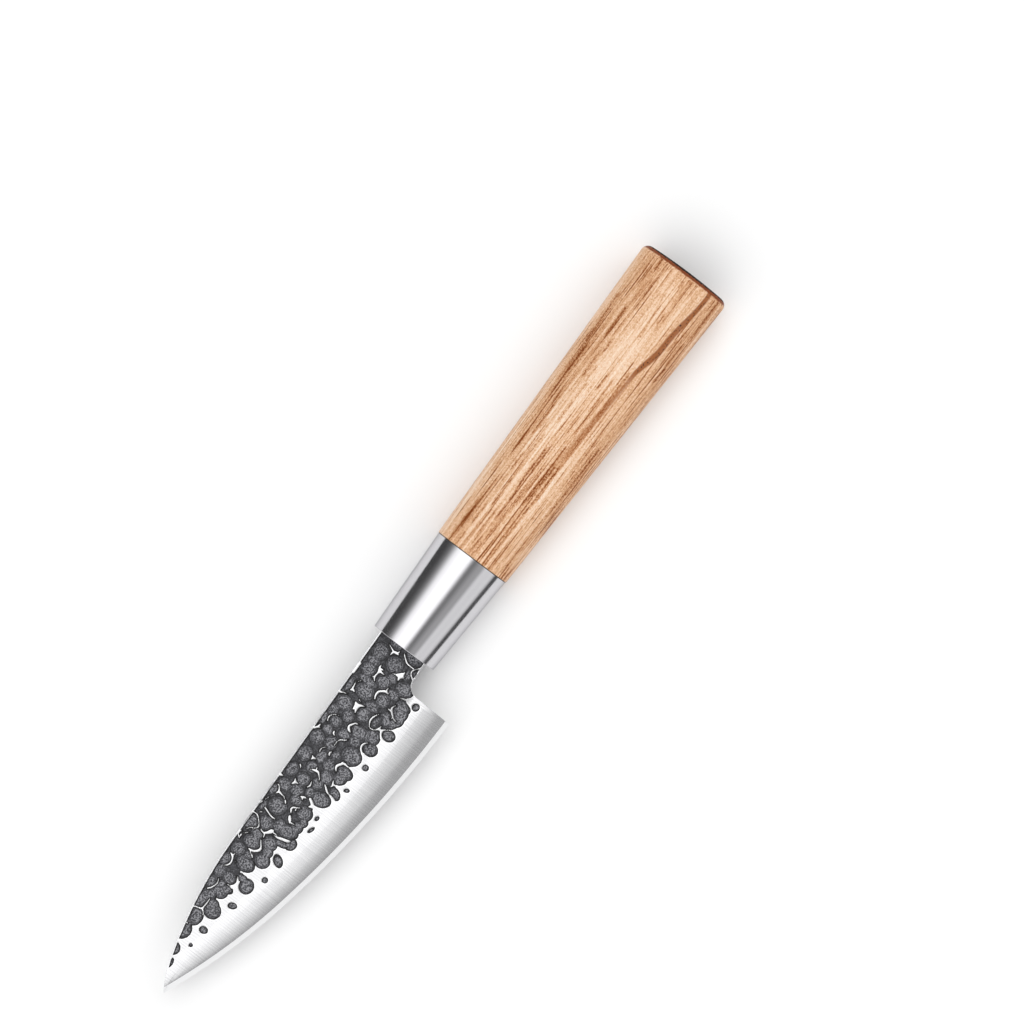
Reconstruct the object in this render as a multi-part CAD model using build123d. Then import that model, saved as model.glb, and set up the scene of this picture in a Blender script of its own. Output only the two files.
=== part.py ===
from build123d import *
import math
import os

# The paring knife is drawn lying on its right side. In the working frame X runs along the knife's axis, from zero
# at the front face of the ferrule to the butt, with the tip on the minus side. Y rises from the cutting edge to the
# spine, and Z is the thickness, from zero in the middle of the blade up to its left face. The last section moves
# all pieces to the finished frame. Lengths are millimetres and angles are degrees.

# Blade profile, from the ferrule face to the tip and up or down from the axis
blade_reach = 95.6
tip_drop = 3.7
spine_height = 6.5
spine_fall_angle = 1.5
heel_setback = 7.7
heel_depth = 18.7
heel_lean = 0.4
neck_drop = 6.1
neck_sag = 0.4
choil_radius = 3.0
# Where the spine's straight stretch and first bend end, as shares of the reach and of the drop to the tip
spine_straight_share = 0.607
spine_knee_share = 0.92
spine_knee_drop_share = 0.637
# Where the edge's two arcs meet, as shares of the reach and of the rise from heel to tip
belly_share = 0.654
belly_rise_share = 0.333

# Blade section: distal taper, primary grind and honed bevel
neck_thickness = 2.0
tip_thickness = 1.24
edge_land = 0.06
bevel_width = 1.1
bevel_angle = 10.0
grind_angle = 4.7

# Hidden tang behind the ferrule face
tang_shoulder = 3.0
tang_height = 8.0
tang_end_height = 5.0
tang_length = 68.0
tang_corner_radius = 1.0

# Hammered faces: the widest dimple, and each dimple as shares of the reach, of the heel depth and of that radius
dimple_radius = 2.3
dimple_depth = 0.18
dimple_margin = 0.4
dimple_shares = [
    (0.931, -0.034, 0.40), (0.898, 0.036, 0.72), (0.850, 0.079, 0.92), (0.869, -0.113, 0.22),
    (0.822, -0.125, 0.45), (0.807, 0.061, 0.92), (0.770, 0.122, 0.74), (0.774, -0.067, 0.92),
    (0.736, -0.228, 0.38), (0.721, 0.170, 0.72), (0.723, -0.012, 0.82), (0.709, -0.061, 0.52),
    (0.686, 0.000, 0.70), (0.679, -0.222, 0.80), (0.654, 0.182, 0.70), (0.640, -0.358, 0.30),
    (0.635, -0.061, 0.92), (0.611, 0.158, 0.70), (0.605, -0.194, 0.86), (0.585, 0.055, 0.86),
    (0.585, 0.219, 0.45), (0.585, -0.346, 0.58), (0.562, -0.146, 0.74), (0.548, 0.182, 0.76),
    (0.544, -0.255, 0.60), (0.530, -0.328, 0.66), (0.529, 0.036, 0.78), (0.516, -0.207, 0.80),
    (0.497, 0.207, 0.55), (0.490, -0.267, 0.80), (0.481, 0.061, 0.92), (0.478, -0.437, 0.28),
    (0.458, -0.261, 0.84), (0.456, 0.219, 0.70), (0.449, -0.409, 0.25), (0.442, -0.097, 0.58),
    (0.426, 0.170, 0.66), (0.418, 0.000, 0.78), (0.417, -0.158, 0.62), (0.405, -0.310, 0.92),
    (0.395, 0.213, 0.76), (0.383, 0.012, 0.76), (0.381, -0.158, 0.60), (0.377, -0.407, 0.60),
    (0.358, -0.200, 0.78), (0.353, -0.495, 0.27), (0.350, -0.012, 0.70), (0.347, 0.188, 0.78),
    (0.329, -0.340, 0.98), (0.319, -0.150, 0.64), (0.314, 0.000, 0.78), (0.294, 0.182, 0.78),
    (0.284, -0.286, 1.00), (0.283, -0.519, 0.33), (0.278, -0.024, 0.78), (0.245, -0.049, 0.74),
    (0.241, -0.425, 0.78), (0.240, 0.134, 0.78), (0.225, -0.188, 0.74), (0.214, 0.006, 0.66),
    (0.214, -0.352, 0.80), (0.190, 0.170, 0.80), (0.189, -0.492, 0.68), (0.185, -0.091, 0.70),
    (0.184, -0.276, 0.48), (0.168, -0.431, 0.60), (0.164, -0.322, 0.48), (0.145, 0.255, 0.60),
    (0.144, -0.468, 0.80), (0.138, 0.043, 0.92), (0.130, -0.170, 0.72), (0.124, -0.443, 0.76),
    (0.100, -0.207, 0.58), (0.097, -0.555, 0.40), (0.096, -0.061, 0.66), (0.093, 0.194, 0.80),
    (0.078, -0.322, 0.80), (0.050, -0.049, 0.86), (0.048, 0.207, 0.82), (0.020, 0.090, 0.56),
    (0.020, -0.146, 0.58),
]

# Ferrule: a drawn steel cup with a slot for the blade in its front face
ferrule_length = 25.6
ferrule_front_height = 16.8
ferrule_back_height = 18.9
ferrule_thickness = 14.7
ferrule_wall = 0.8
ferrule_face = 1.0
ferrule_edge_bevel = 0.4
slot_clearance = 0.15

# Wooden handle with a spigot that fills the ferrule
handle_length = 81.3
handle_front_height = 19.2
handle_back_height = 23.2
handle_thickness = 15.0
butt_corner_radius = 1.8
butt_crown = 0.45
spigot_length = 22.0

# Bond lines: the film round the spigot, and the filling of the tang bore
film_thickness = 0.12
bore_clearance = 1.0
bore_end_gap = 2.0

# Spare length of every cutting shape beyond what it cuts
overrun = 1.0


# Blade
neck_half = neck_thickness / 2
tip_half = tip_thickness / 2
bevel_half = edge_land / 2 + bevel_width * math.tan(math.radians(bevel_angle))
grind_slope = math.tan(math.radians(grind_angle))
neck_middle = (spine_height - neck_drop) / 2
neck_height = spine_height + neck_drop

spine_start = Vector(0, spine_height)
spine_break = Vector(-spine_straight_share * blade_reach, 0)
spine_break += Vector(0, spine_height + spine_break.X * math.tan(math.radians(spine_fall_angle)))
spine_knee = Vector(-spine_knee_share * blade_reach, spine_height - spine_knee_drop_share * (spine_height + tip_drop))
tip = Vector(-blade_reach, -tip_drop)
belly_point = Vector(-belly_share * blade_reach, -heel_depth + belly_rise_share * (heel_depth - tip_drop))
heel_point = Vector(-heel_setback, -heel_depth)
choil_corner = Vector(-heel_setback + heel_lean, -neck_drop - neck_sag)
heel_arc = TangentArc(heel_point, belly_point, tangent=Vector(-1, 0))
belly_arc = TangentArc(belly_point, tip, tangent=heel_arc % 1)


def blade_outline():
    """The blade, neck and tang as one flat outline in the blade's plane."""
    with BuildSketch() as sketch:
        with BuildLine():
            straight = Line(spine_start, spine_break)
            bend = TangentArc(spine_break, spine_knee, tangent=straight % 1)
            TangentArc(spine_knee, tip, tangent=bend % 1)
            add(belly_arc)
            add(heel_arc)
            Polyline(
                heel_point,
                choil_corner,
                Vector(0, -neck_drop),
                Vector(tang_shoulder, -neck_drop),
                Vector(tang_shoulder, neck_middle - tang_height / 2),
                Vector(tang_length, neck_middle - tang_end_height / 2),
                Vector(tang_length, neck_middle + tang_end_height / 2),
                Vector(tang_shoulder, neck_middle + tang_height / 2),
                Vector(tang_shoulder, spine_height),
                spine_start,
            )
        make_face()
        fillet(sketch.vertices().sort_by_distance((choil_corner.X, choil_corner.Y, 0))[0], choil_radius)
        fillet(sketch.vertices().sort_by(Axis.X)[-2:], tang_corner_radius)
    return sketch.sketch


def taper_wedge():
    """The side view of the thickness: even along the tang and neck, thinner toward the tip."""
    reach = blade_reach + overrun
    far_half = neck_half - (neck_half - tip_half) * reach / blade_reach
    side = Plane.XZ * make_face(
        Polyline(
            (tang_length + overrun, neck_half),
            (0, neck_half),
            (-reach, far_half),
            (-reach, -far_half),
            (0, -neck_half),
            (tang_length + overrun, -neck_half),
            close=True,
        )
    )
    return extrude(side, heel_depth + overrun, both=True)


def ground_disc(arc):
    """A disc whose rim is honed and ground to the edge's section all along one arc of the edge."""
    full_half = neck_half + overrun
    full_height = bevel_width + (full_half - bevel_half) / grind_slope
    inner_radius = arc.radius - full_height - heel_depth - spine_height
    rim = Plane.XZ * make_face(
        Polyline(
            (arc.radius, edge_land / 2),
            (arc.radius - bevel_width, bevel_half),
            (arc.radius - full_height, full_half),
            (inner_radius, full_half),
            (inner_radius, -full_half),
            (arc.radius - full_height, -full_half),
            (arc.radius - bevel_width, -bevel_half),
            (arc.radius, -edge_land / 2),
            close=True,
        )
    )
    return Pos(arc.arc_center) * revolve(rim, Axis.Z)


def face_at(place):
    """The left face over a place in the blade's plane: the point on it and its outward direction."""
    flat = neck_half + (neck_half - tip_half) * place.X / blade_reach
    arc = belly_arc if (place - belly_point).dot(heel_arc % 1) > 0 else heel_arc
    uphill = arc.arc_center - place
    ground = bevel_half + (arc.radius - uphill.length - bevel_width) * grind_slope
    if flat < ground:
        return place + Vector(0, 0, flat), Vector(0, 0, 1)
    slant = uphill.normalized() * -math.sin(math.radians(grind_angle))
    return place + Vector(0, 0, ground), slant + Vector(0, 0, math.cos(math.radians(grind_angle)))


def dimple_caps():
    """Shallow caps of one ball size, sunk into the left face by as much as their width asks."""
    ball_radius = (dimple_radius**2 + dimple_depth**2) / (2 * dimple_depth)
    caps = []
    for reach_share, height_share, radius_share in dimple_shares:
        point, outward = face_at(Vector(-reach_share * blade_reach, height_share * heel_depth))
        radius = radius_share * dimple_radius
        lift = math.sqrt(ball_radius**2 - radius**2)
        opening = math.degrees(math.asin((radius + dimple_margin) / ball_radius))
        ball = Solid.make_sphere(ball_radius, angle1=-90, angle2=opening - 90)
        caps.append(Plane(point, z_dir=outward) * Pos(0, 0, lift) * ball)
    return caps


def make_blade():
    """The ground and hammered blade with its neck and tang, one piece of steel."""
    blank = extrude(blade_outline(), neck_thickness, both=True) & taper_wedge()
    tang = split(blank, bisect_by=Plane.YZ, keep=Keep.TOP)
    front = split(blank, bisect_by=Plane.YZ, keep=Keep.BOTTOM)
    joint = Plane(belly_point, z_dir=heel_arc % 1)
    heel_part = split(front, bisect_by=joint, keep=Keep.BOTTOM) & ground_disc(heel_arc)
    tip_part = split(front, bisect_by=joint, keep=Keep.TOP) & ground_disc(belly_arc)
    ground = heel_part + tip_part
    left_caps = dimple_caps()
    right_caps = [cap.mirror(Plane.XY) for cap in left_caps]
    return ground - left_caps - right_caps + tang


# Ferrule
def section(station, height, thickness):
    """An oval across the knife's axis, its height along Y and its thickness along Z."""
    across = Plane((station, 0, 0), x_dir=(0, 1, 0), z_dir=(1, 0, 0))
    return across * scale(Circle(1), by=(height / 2, thickness / 2, 1))


def ferrule_section(station, inset):
    """The ferrule's oval at a station, drawn in from its outer skin by an inset."""
    rise = (ferrule_back_height - ferrule_front_height) / ferrule_length
    return section(station, ferrule_front_height + rise * station - 2 * inset, ferrule_thickness - 2 * inset)


def ferrule_core(start, end, inset):
    """A tapered oval plug between two stations, drawn in from the ferrule's outer skin."""
    return loft([ferrule_section(start, inset), ferrule_section(end, inset)], ruled=True)


def make_ferrule():
    """The tapered cup: outer skin with a broken front edge, hollow and the slot in its front face."""
    skin = ferrule_core(0, ferrule_length, 0)
    skin = chamfer(skin.faces().sort_by(Axis.X)[0].edges(), ferrule_edge_bevel)
    hollow = ferrule_core(ferrule_face, ferrule_length + overrun, ferrule_wall)
    slot = Box(
        ferrule_face + 2 * overrun,
        neck_height + 2 * slot_clearance,
        neck_thickness + 2 * slot_clearance,
    )
    return skin - hollow - Pos(ferrule_face / 2, neck_middle, 0) * slot


# Handle
handle_start = ferrule_length + film_thickness
handle_end = handle_start + handle_length
spigot_start = handle_start - spigot_length


def bore(start):
    """The round-ended bore for the tang, from a station to just past the tang's end."""
    mouth = Plane((start, neck_middle, 0), x_dir=(0, 1, 0), z_dir=(1, 0, 0))
    outline = SlotOverall(tang_height + 2 * bore_clearance, neck_thickness + 2 * bore_clearance)
    return extrude(mouth * outline, tang_length + bore_end_gap - start)


def make_handle():
    """The oval grip with a crowned, rounded butt, the spigot in the ferrule and the tang bore."""
    grip = loft(
        [
            section(handle_start, handle_front_height, handle_thickness),
            section(handle_end, handle_back_height, handle_thickness),
        ],
        ruled=True,
    )
    crown_radius = ((handle_back_height / 2) ** 2 + butt_crown**2) / (2 * butt_crown)
    grip = grip & Pos(handle_end - crown_radius, 0, 0) * Sphere(crown_radius)
    grip = fillet(grip.faces().sort_by(Axis.X)[-1].edges(), butt_corner_radius)
    spigot = ferrule_core(spigot_start, handle_start, ferrule_wall + film_thickness)
    return grip + spigot - bore(spigot_start)


# Bond lines
def make_film():
    """The glue film between ferrule and wood: a sleeve round the spigot and a rim at the seam."""
    sleeve = ferrule_core(spigot_start, ferrule_length, ferrule_wall)
    rim = ferrule_core(ferrule_length, handle_start, 0)
    return sleeve + rim - ferrule_core(spigot_start, handle_start, ferrule_wall + film_thickness)


def make_filling(blade):
    """The cured resin that fills the ferrule's front and the bore round the tang."""
    front = ferrule_core(ferrule_face, spigot_start, ferrule_wall)
    return front + bore(spigot_start) - blade


# Finished frame: on the surface that the knife lies on, under the middle of its outline
blade = make_blade()
nodes = {
    "blade": blade,
    "ferrule": make_ferrule(),
    "handle": make_handle(),
    "ferrule_adhesive": make_film(),
    "tang_epoxy": make_filling(blade),
}
bounds = Compound(children=[Compound(piece.solids()) for piece in nodes.values()]).bounding_box()
to_finished = Pos(-(bounds.min.X + bounds.max.X) / 2, -(bounds.min.Y + bounds.max.Y) / 2, handle_thickness / 2)
os.makedirs("parts", exist_ok=True)
for name, piece in nodes.items():
    placed = to_finished * Compound(piece.solids())
    export_step(placed, f"parts/{name}.step")
    box = placed.bounding_box()
    print(f"{name}: {len(placed.solids())} solid, {placed.volume:.1f} mm3, {box.min} to {box.max}")
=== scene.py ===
import math

import bpy
import numpy as np
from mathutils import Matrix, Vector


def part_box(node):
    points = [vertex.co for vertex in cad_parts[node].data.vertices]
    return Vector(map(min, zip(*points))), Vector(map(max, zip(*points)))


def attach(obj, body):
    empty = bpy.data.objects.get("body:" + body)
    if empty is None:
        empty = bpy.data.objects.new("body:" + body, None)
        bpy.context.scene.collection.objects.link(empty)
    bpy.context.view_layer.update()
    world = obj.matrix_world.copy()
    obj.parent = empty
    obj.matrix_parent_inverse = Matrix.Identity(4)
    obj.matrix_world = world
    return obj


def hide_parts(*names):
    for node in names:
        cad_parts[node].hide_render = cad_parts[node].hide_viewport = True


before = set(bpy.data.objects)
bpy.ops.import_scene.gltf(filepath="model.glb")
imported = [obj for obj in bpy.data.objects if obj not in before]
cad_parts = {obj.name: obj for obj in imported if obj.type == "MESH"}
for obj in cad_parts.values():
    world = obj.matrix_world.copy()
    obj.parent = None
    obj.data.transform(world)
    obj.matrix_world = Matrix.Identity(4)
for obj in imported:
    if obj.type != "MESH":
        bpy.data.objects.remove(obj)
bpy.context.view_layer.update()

# Blade: one piece of stainless steel, blanked, hammered on both sides and darkened by heat. A wide wheel
# then grinds the flats away toward the edge, which is honed, so that bright steel shows below the marks and
# on the lands between them. A narrower tang runs on into the handle.
ferrule_low, ferrule_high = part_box("ferrule")
blade_low, blade_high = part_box("blade")
millimetre = 0.001
# The knife's own axes, in millimetres, start in the middle of the ferrule's face: x runs to the butt, y up
# to the spine and z to the left face
knife_zero = np.array([
    ferrule_low.x,
    (ferrule_low.y + ferrule_high.y) / 2,
    (ferrule_low.z + ferrule_high.z) / 2,
])
blade_reach = (ferrule_low.x - blade_low.x) / millimetre
heel_depth = (knife_zero[1] - blade_low.y) / millimetre
spine_height = (blade_high.y - knife_zero[1]) / millimetre
neck_half = (blade_high.z - blade_low.z) / 2 / millimetre
tang_length = (blade_high.x - ferrule_low.x) / millimetre
# The outline's corners, most of them in shares of the blade's reach or height
tip = np.array([-blade_reach, -3.7])
spine_fall = math.tan(math.radians(1.5))
break_reach = 0.607 * blade_reach
spine_break = np.array([-break_reach, spine_height - break_reach * spine_fall])
spine_knee = np.array([-0.92 * blade_reach, spine_height - 0.637 * (spine_height - tip[1])])
heel = np.array([-7.7, -heel_depth])
belly = np.array([-0.654 * blade_reach, -heel_depth + 0.333 * (heel_depth + tip[1])])
choil_corner = np.array([-7.3, -6.5])
choil_radius = 3.0
neck_underside = -6.1
tip_half = 0.62
edge_half = 0.03
bevel_width = 1.1
bevel_half = edge_half + bevel_width * math.tan(math.radians(10))
# The wheel's hollow at stations along the blade: its slope just above the bevel, and its height
grind_stations = (-92.0, -85.0, -66.0, -52.0, -25.0, -12.0)
grind_degrees = (3.2, 5.3, 6.3, 6.3, 8.8, 9.2)
grind_heights = (3.2, 5.0, 6.6, 7.3, 8.3, 8.8)
face_slope = math.tan(math.radians(0.6))
neck_blend = (-22.0, -4.0)
swell_height = 4.0
tang_start = 3.0
tang_half_heights = (4.0, 2.5)
spine_round = 0.05
bright_rim = 0.36
# A mark's depth below the flat at its rim, the width of the slope there, and how much deeper its middle is
mark_sink = 0.05
mark_wall = 0.25
mark_bowl = 0.12

# The hammered pattern of the left face, measured in pixels of the photograph, toward the butt and down from
# the axis. A mark is an oval: its middle, half-length, half-width and turn in degrees. A land is a bent
# line of bare steel between marks: its knots, each with a half-width. Above the closed limit all is dark.
photo_pixel = 1 / 4.4
hammer_marks = np.array([
    (-391.8, 3.6, 5.3, 2.5, -6), (-378.2, -3.2, 7.2, 7.1, 0), (-365.6, 9.2, 2, 2.1, 0),
    (-357.5, -7, 10.3, 9.2, 0), (-339.9, -4.6, 9.8, 8, 0), (-349.5, -7.5, 5, 4.4, 0),
    (-345.9, 10.2, 3.8, 4.5, -10), (-323.2, -10.2, 9.2, 5.8, 4), (-325.2, 5.6, 8.6, 9.2, 0),
    (-320.2, 2.8, 6.2, 6.8, 0), (-313, -7.5, 7, 7.5, 0), (-302.5, -13.5, 8.2, 5.4, 6),
    (-304.5, 0.8, 7.9, 7.9, 0), (-299, 4.6, 4.6, 6.6, 0), (-302, -3, 9, 4.6, 0),
    (-309.3, 18.7, 3.4, 4.8, -25), (-288.8, -0.3, 6.5, 7.8, 0), (-285.3, 18.2, 8.2, 7.7, 0),
    (-281, 9.8, 4.2, 6.2, 0), (-275.3, -15.5, 7.2, 5.8, 0), (-288, -12.5, 7.5, 6.5, 0),
    (-268, 3.5, 8, 10.9, 0), (-269.2, 29.3, 3.2, 3, 25), (-255.3, 15.4, 8, 8.5, 0),
    (-245.8, 15, 6.2, 5.6, 0), (-246, 28.2, 4.7, 7.2, 36), (-246, -4.8, 7, 9.9, 0),
    (-260, -11.5, 7.4, 8, 0), (-258.5, 1.5, 5.5, 6, 0), (-230.7, -17.5, 8.3, 8, 0), (-236.8, -5, 4.8, 7, 0),
    (-237.3, 11, 8, 8.4, 0), (-230.4, 21, 3.5, 8.6, -12), (-225.2, 28.6, 6.8, 5.8, 10),
    (-222.8, -4.6, 7.6, 8.4, 0), (-217.5, 8, 8, 6, 0), (-216.6, 18.6, 7.4, 11.2, -12),
    (-208, 23.5, 7, 6.3, 0), (-200.5, 26, 5, 4.6, 0), (-192.3, 20.8, 8.4, 8.8, 0),
    (-202, -5.5, 9.8, 10.6, 0), (-190.8, -19.5, 6.5, 4.7, 0), (-209.5, -18.5, 6, 4, 0),
    (-186.6, 6.5, 5.6, 7.2, 0), (-201.3, 36, 4.4, 1.9, 18), (-188.7, 33.8, 3, 2, 8),
    (-180.5, -13, 7, 7.5, 0), (-178, 0.5, 6.6, 7.4, 0), (-171.3, 25.4, 8, 10.8, -14),
    (-158.2, 33.5, 4.8, 7.2, 30), (-163.5, -16, 8.4, 6.6, 0), (-165.5, -1.5, 7.6, 7.8, 0),
    (-172, 12, 6, 4.6, 0), (-160.5, 13, 6.4, 6.6, 0), (-150.3, 16.6, 7.8, 8.2, 0),
    (-143.5, -15.3, 8.6, 8.2, 0), (-150.5, -1.5, 6, 6.6, 0), (-136, 28.8, 6.7, 9, 0),
    (-143.5, 28, 6.6, 7.6, -30), (-148.5, 40.7, 2.1, 3.1, -35), (-138.5, 11.5, 7, 7, 0),
    (-136.5, -0.5, 7.6, 6.2, 0), (-123.5, -15.4, 8.4, 8.3, 0), (-119.5, -1, 8, 7.2, 0), (-127, 11, 5, 6, 0),
    (-118.3, 23.6, 10, 11.4, 0), (-119, 42, 3.4, 3.3, 0), (-104, -21.5, 8.5, 3.6, 0),
    (-99.5, -9.8, 6.3, 7, 0), (-110.5, -11, 5.4, 6.6, 0), (-104, 4.5, 6.6, 7, 0),
    (-104.5, 17.5, 5.6, 6.4, 0), (-94.3, 15.4, 7.4, 9.2, 0), (-90.5, 28.4, 8.4, 9.2, 18),
    (-101.6, 34.9, 7, 7.9, 0), (-91.5, -19, 7, 5.6, 0), (-88, -3, 7, 6.6, 0), (-79.5, -14.5, 8.2, 9.8, 0),
    (-77.8, 8.2, 8, 7.4, 0), (-79.6, 41, 6.2, 7.2, 0), (-76.5, 22.8, 7, 3.9, 12), (-66, 27, 6.5, 4.6, 20),
    (-69.5, 34.5, 5.6, 8.8, -25), (-61, -21.5, 8.8, 3.4, 0), (-58, -4.6, 9, 11.3, 0),
    (-66.5, 10.5, 5, 8, 0), (-55.2, 15.4, 8.1, 7.3, 0), (-62, 40, 7, 5.6, 0), (-54.5, 37, 9.5, 8.3, -20),
    (-48.5, 35.5, 5.6, 8.8, 0), (-48, -9, 4.6, 12, 0), (-38, -15.2, 8, 8.4, 0), (-39.6, 4.6, 7.9, 8.7, 0),
    (-44, 20, 5.8, 7.6, 0), (-33.2, 26, 8, 10.4, -8), (-40.5, 45.6, 4.2, 3.9, 0), (-31.5, 9.5, 5, 6.4, 0),
    (-28, -16, 5, 7.6, 0), (-17, -16.6, 9.8, 9, 0), (-19.3, 3.2, 9.6, 9.9, 0), (-19.5, 20.5, 7, 5, 20),
    (-14.4, 27.8, 5.6, 5.4, 0), (-1, -7.5, 6.5, 7.6, 0), (-2.2, 15, 7.6, 10.2, 0),
])

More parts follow.
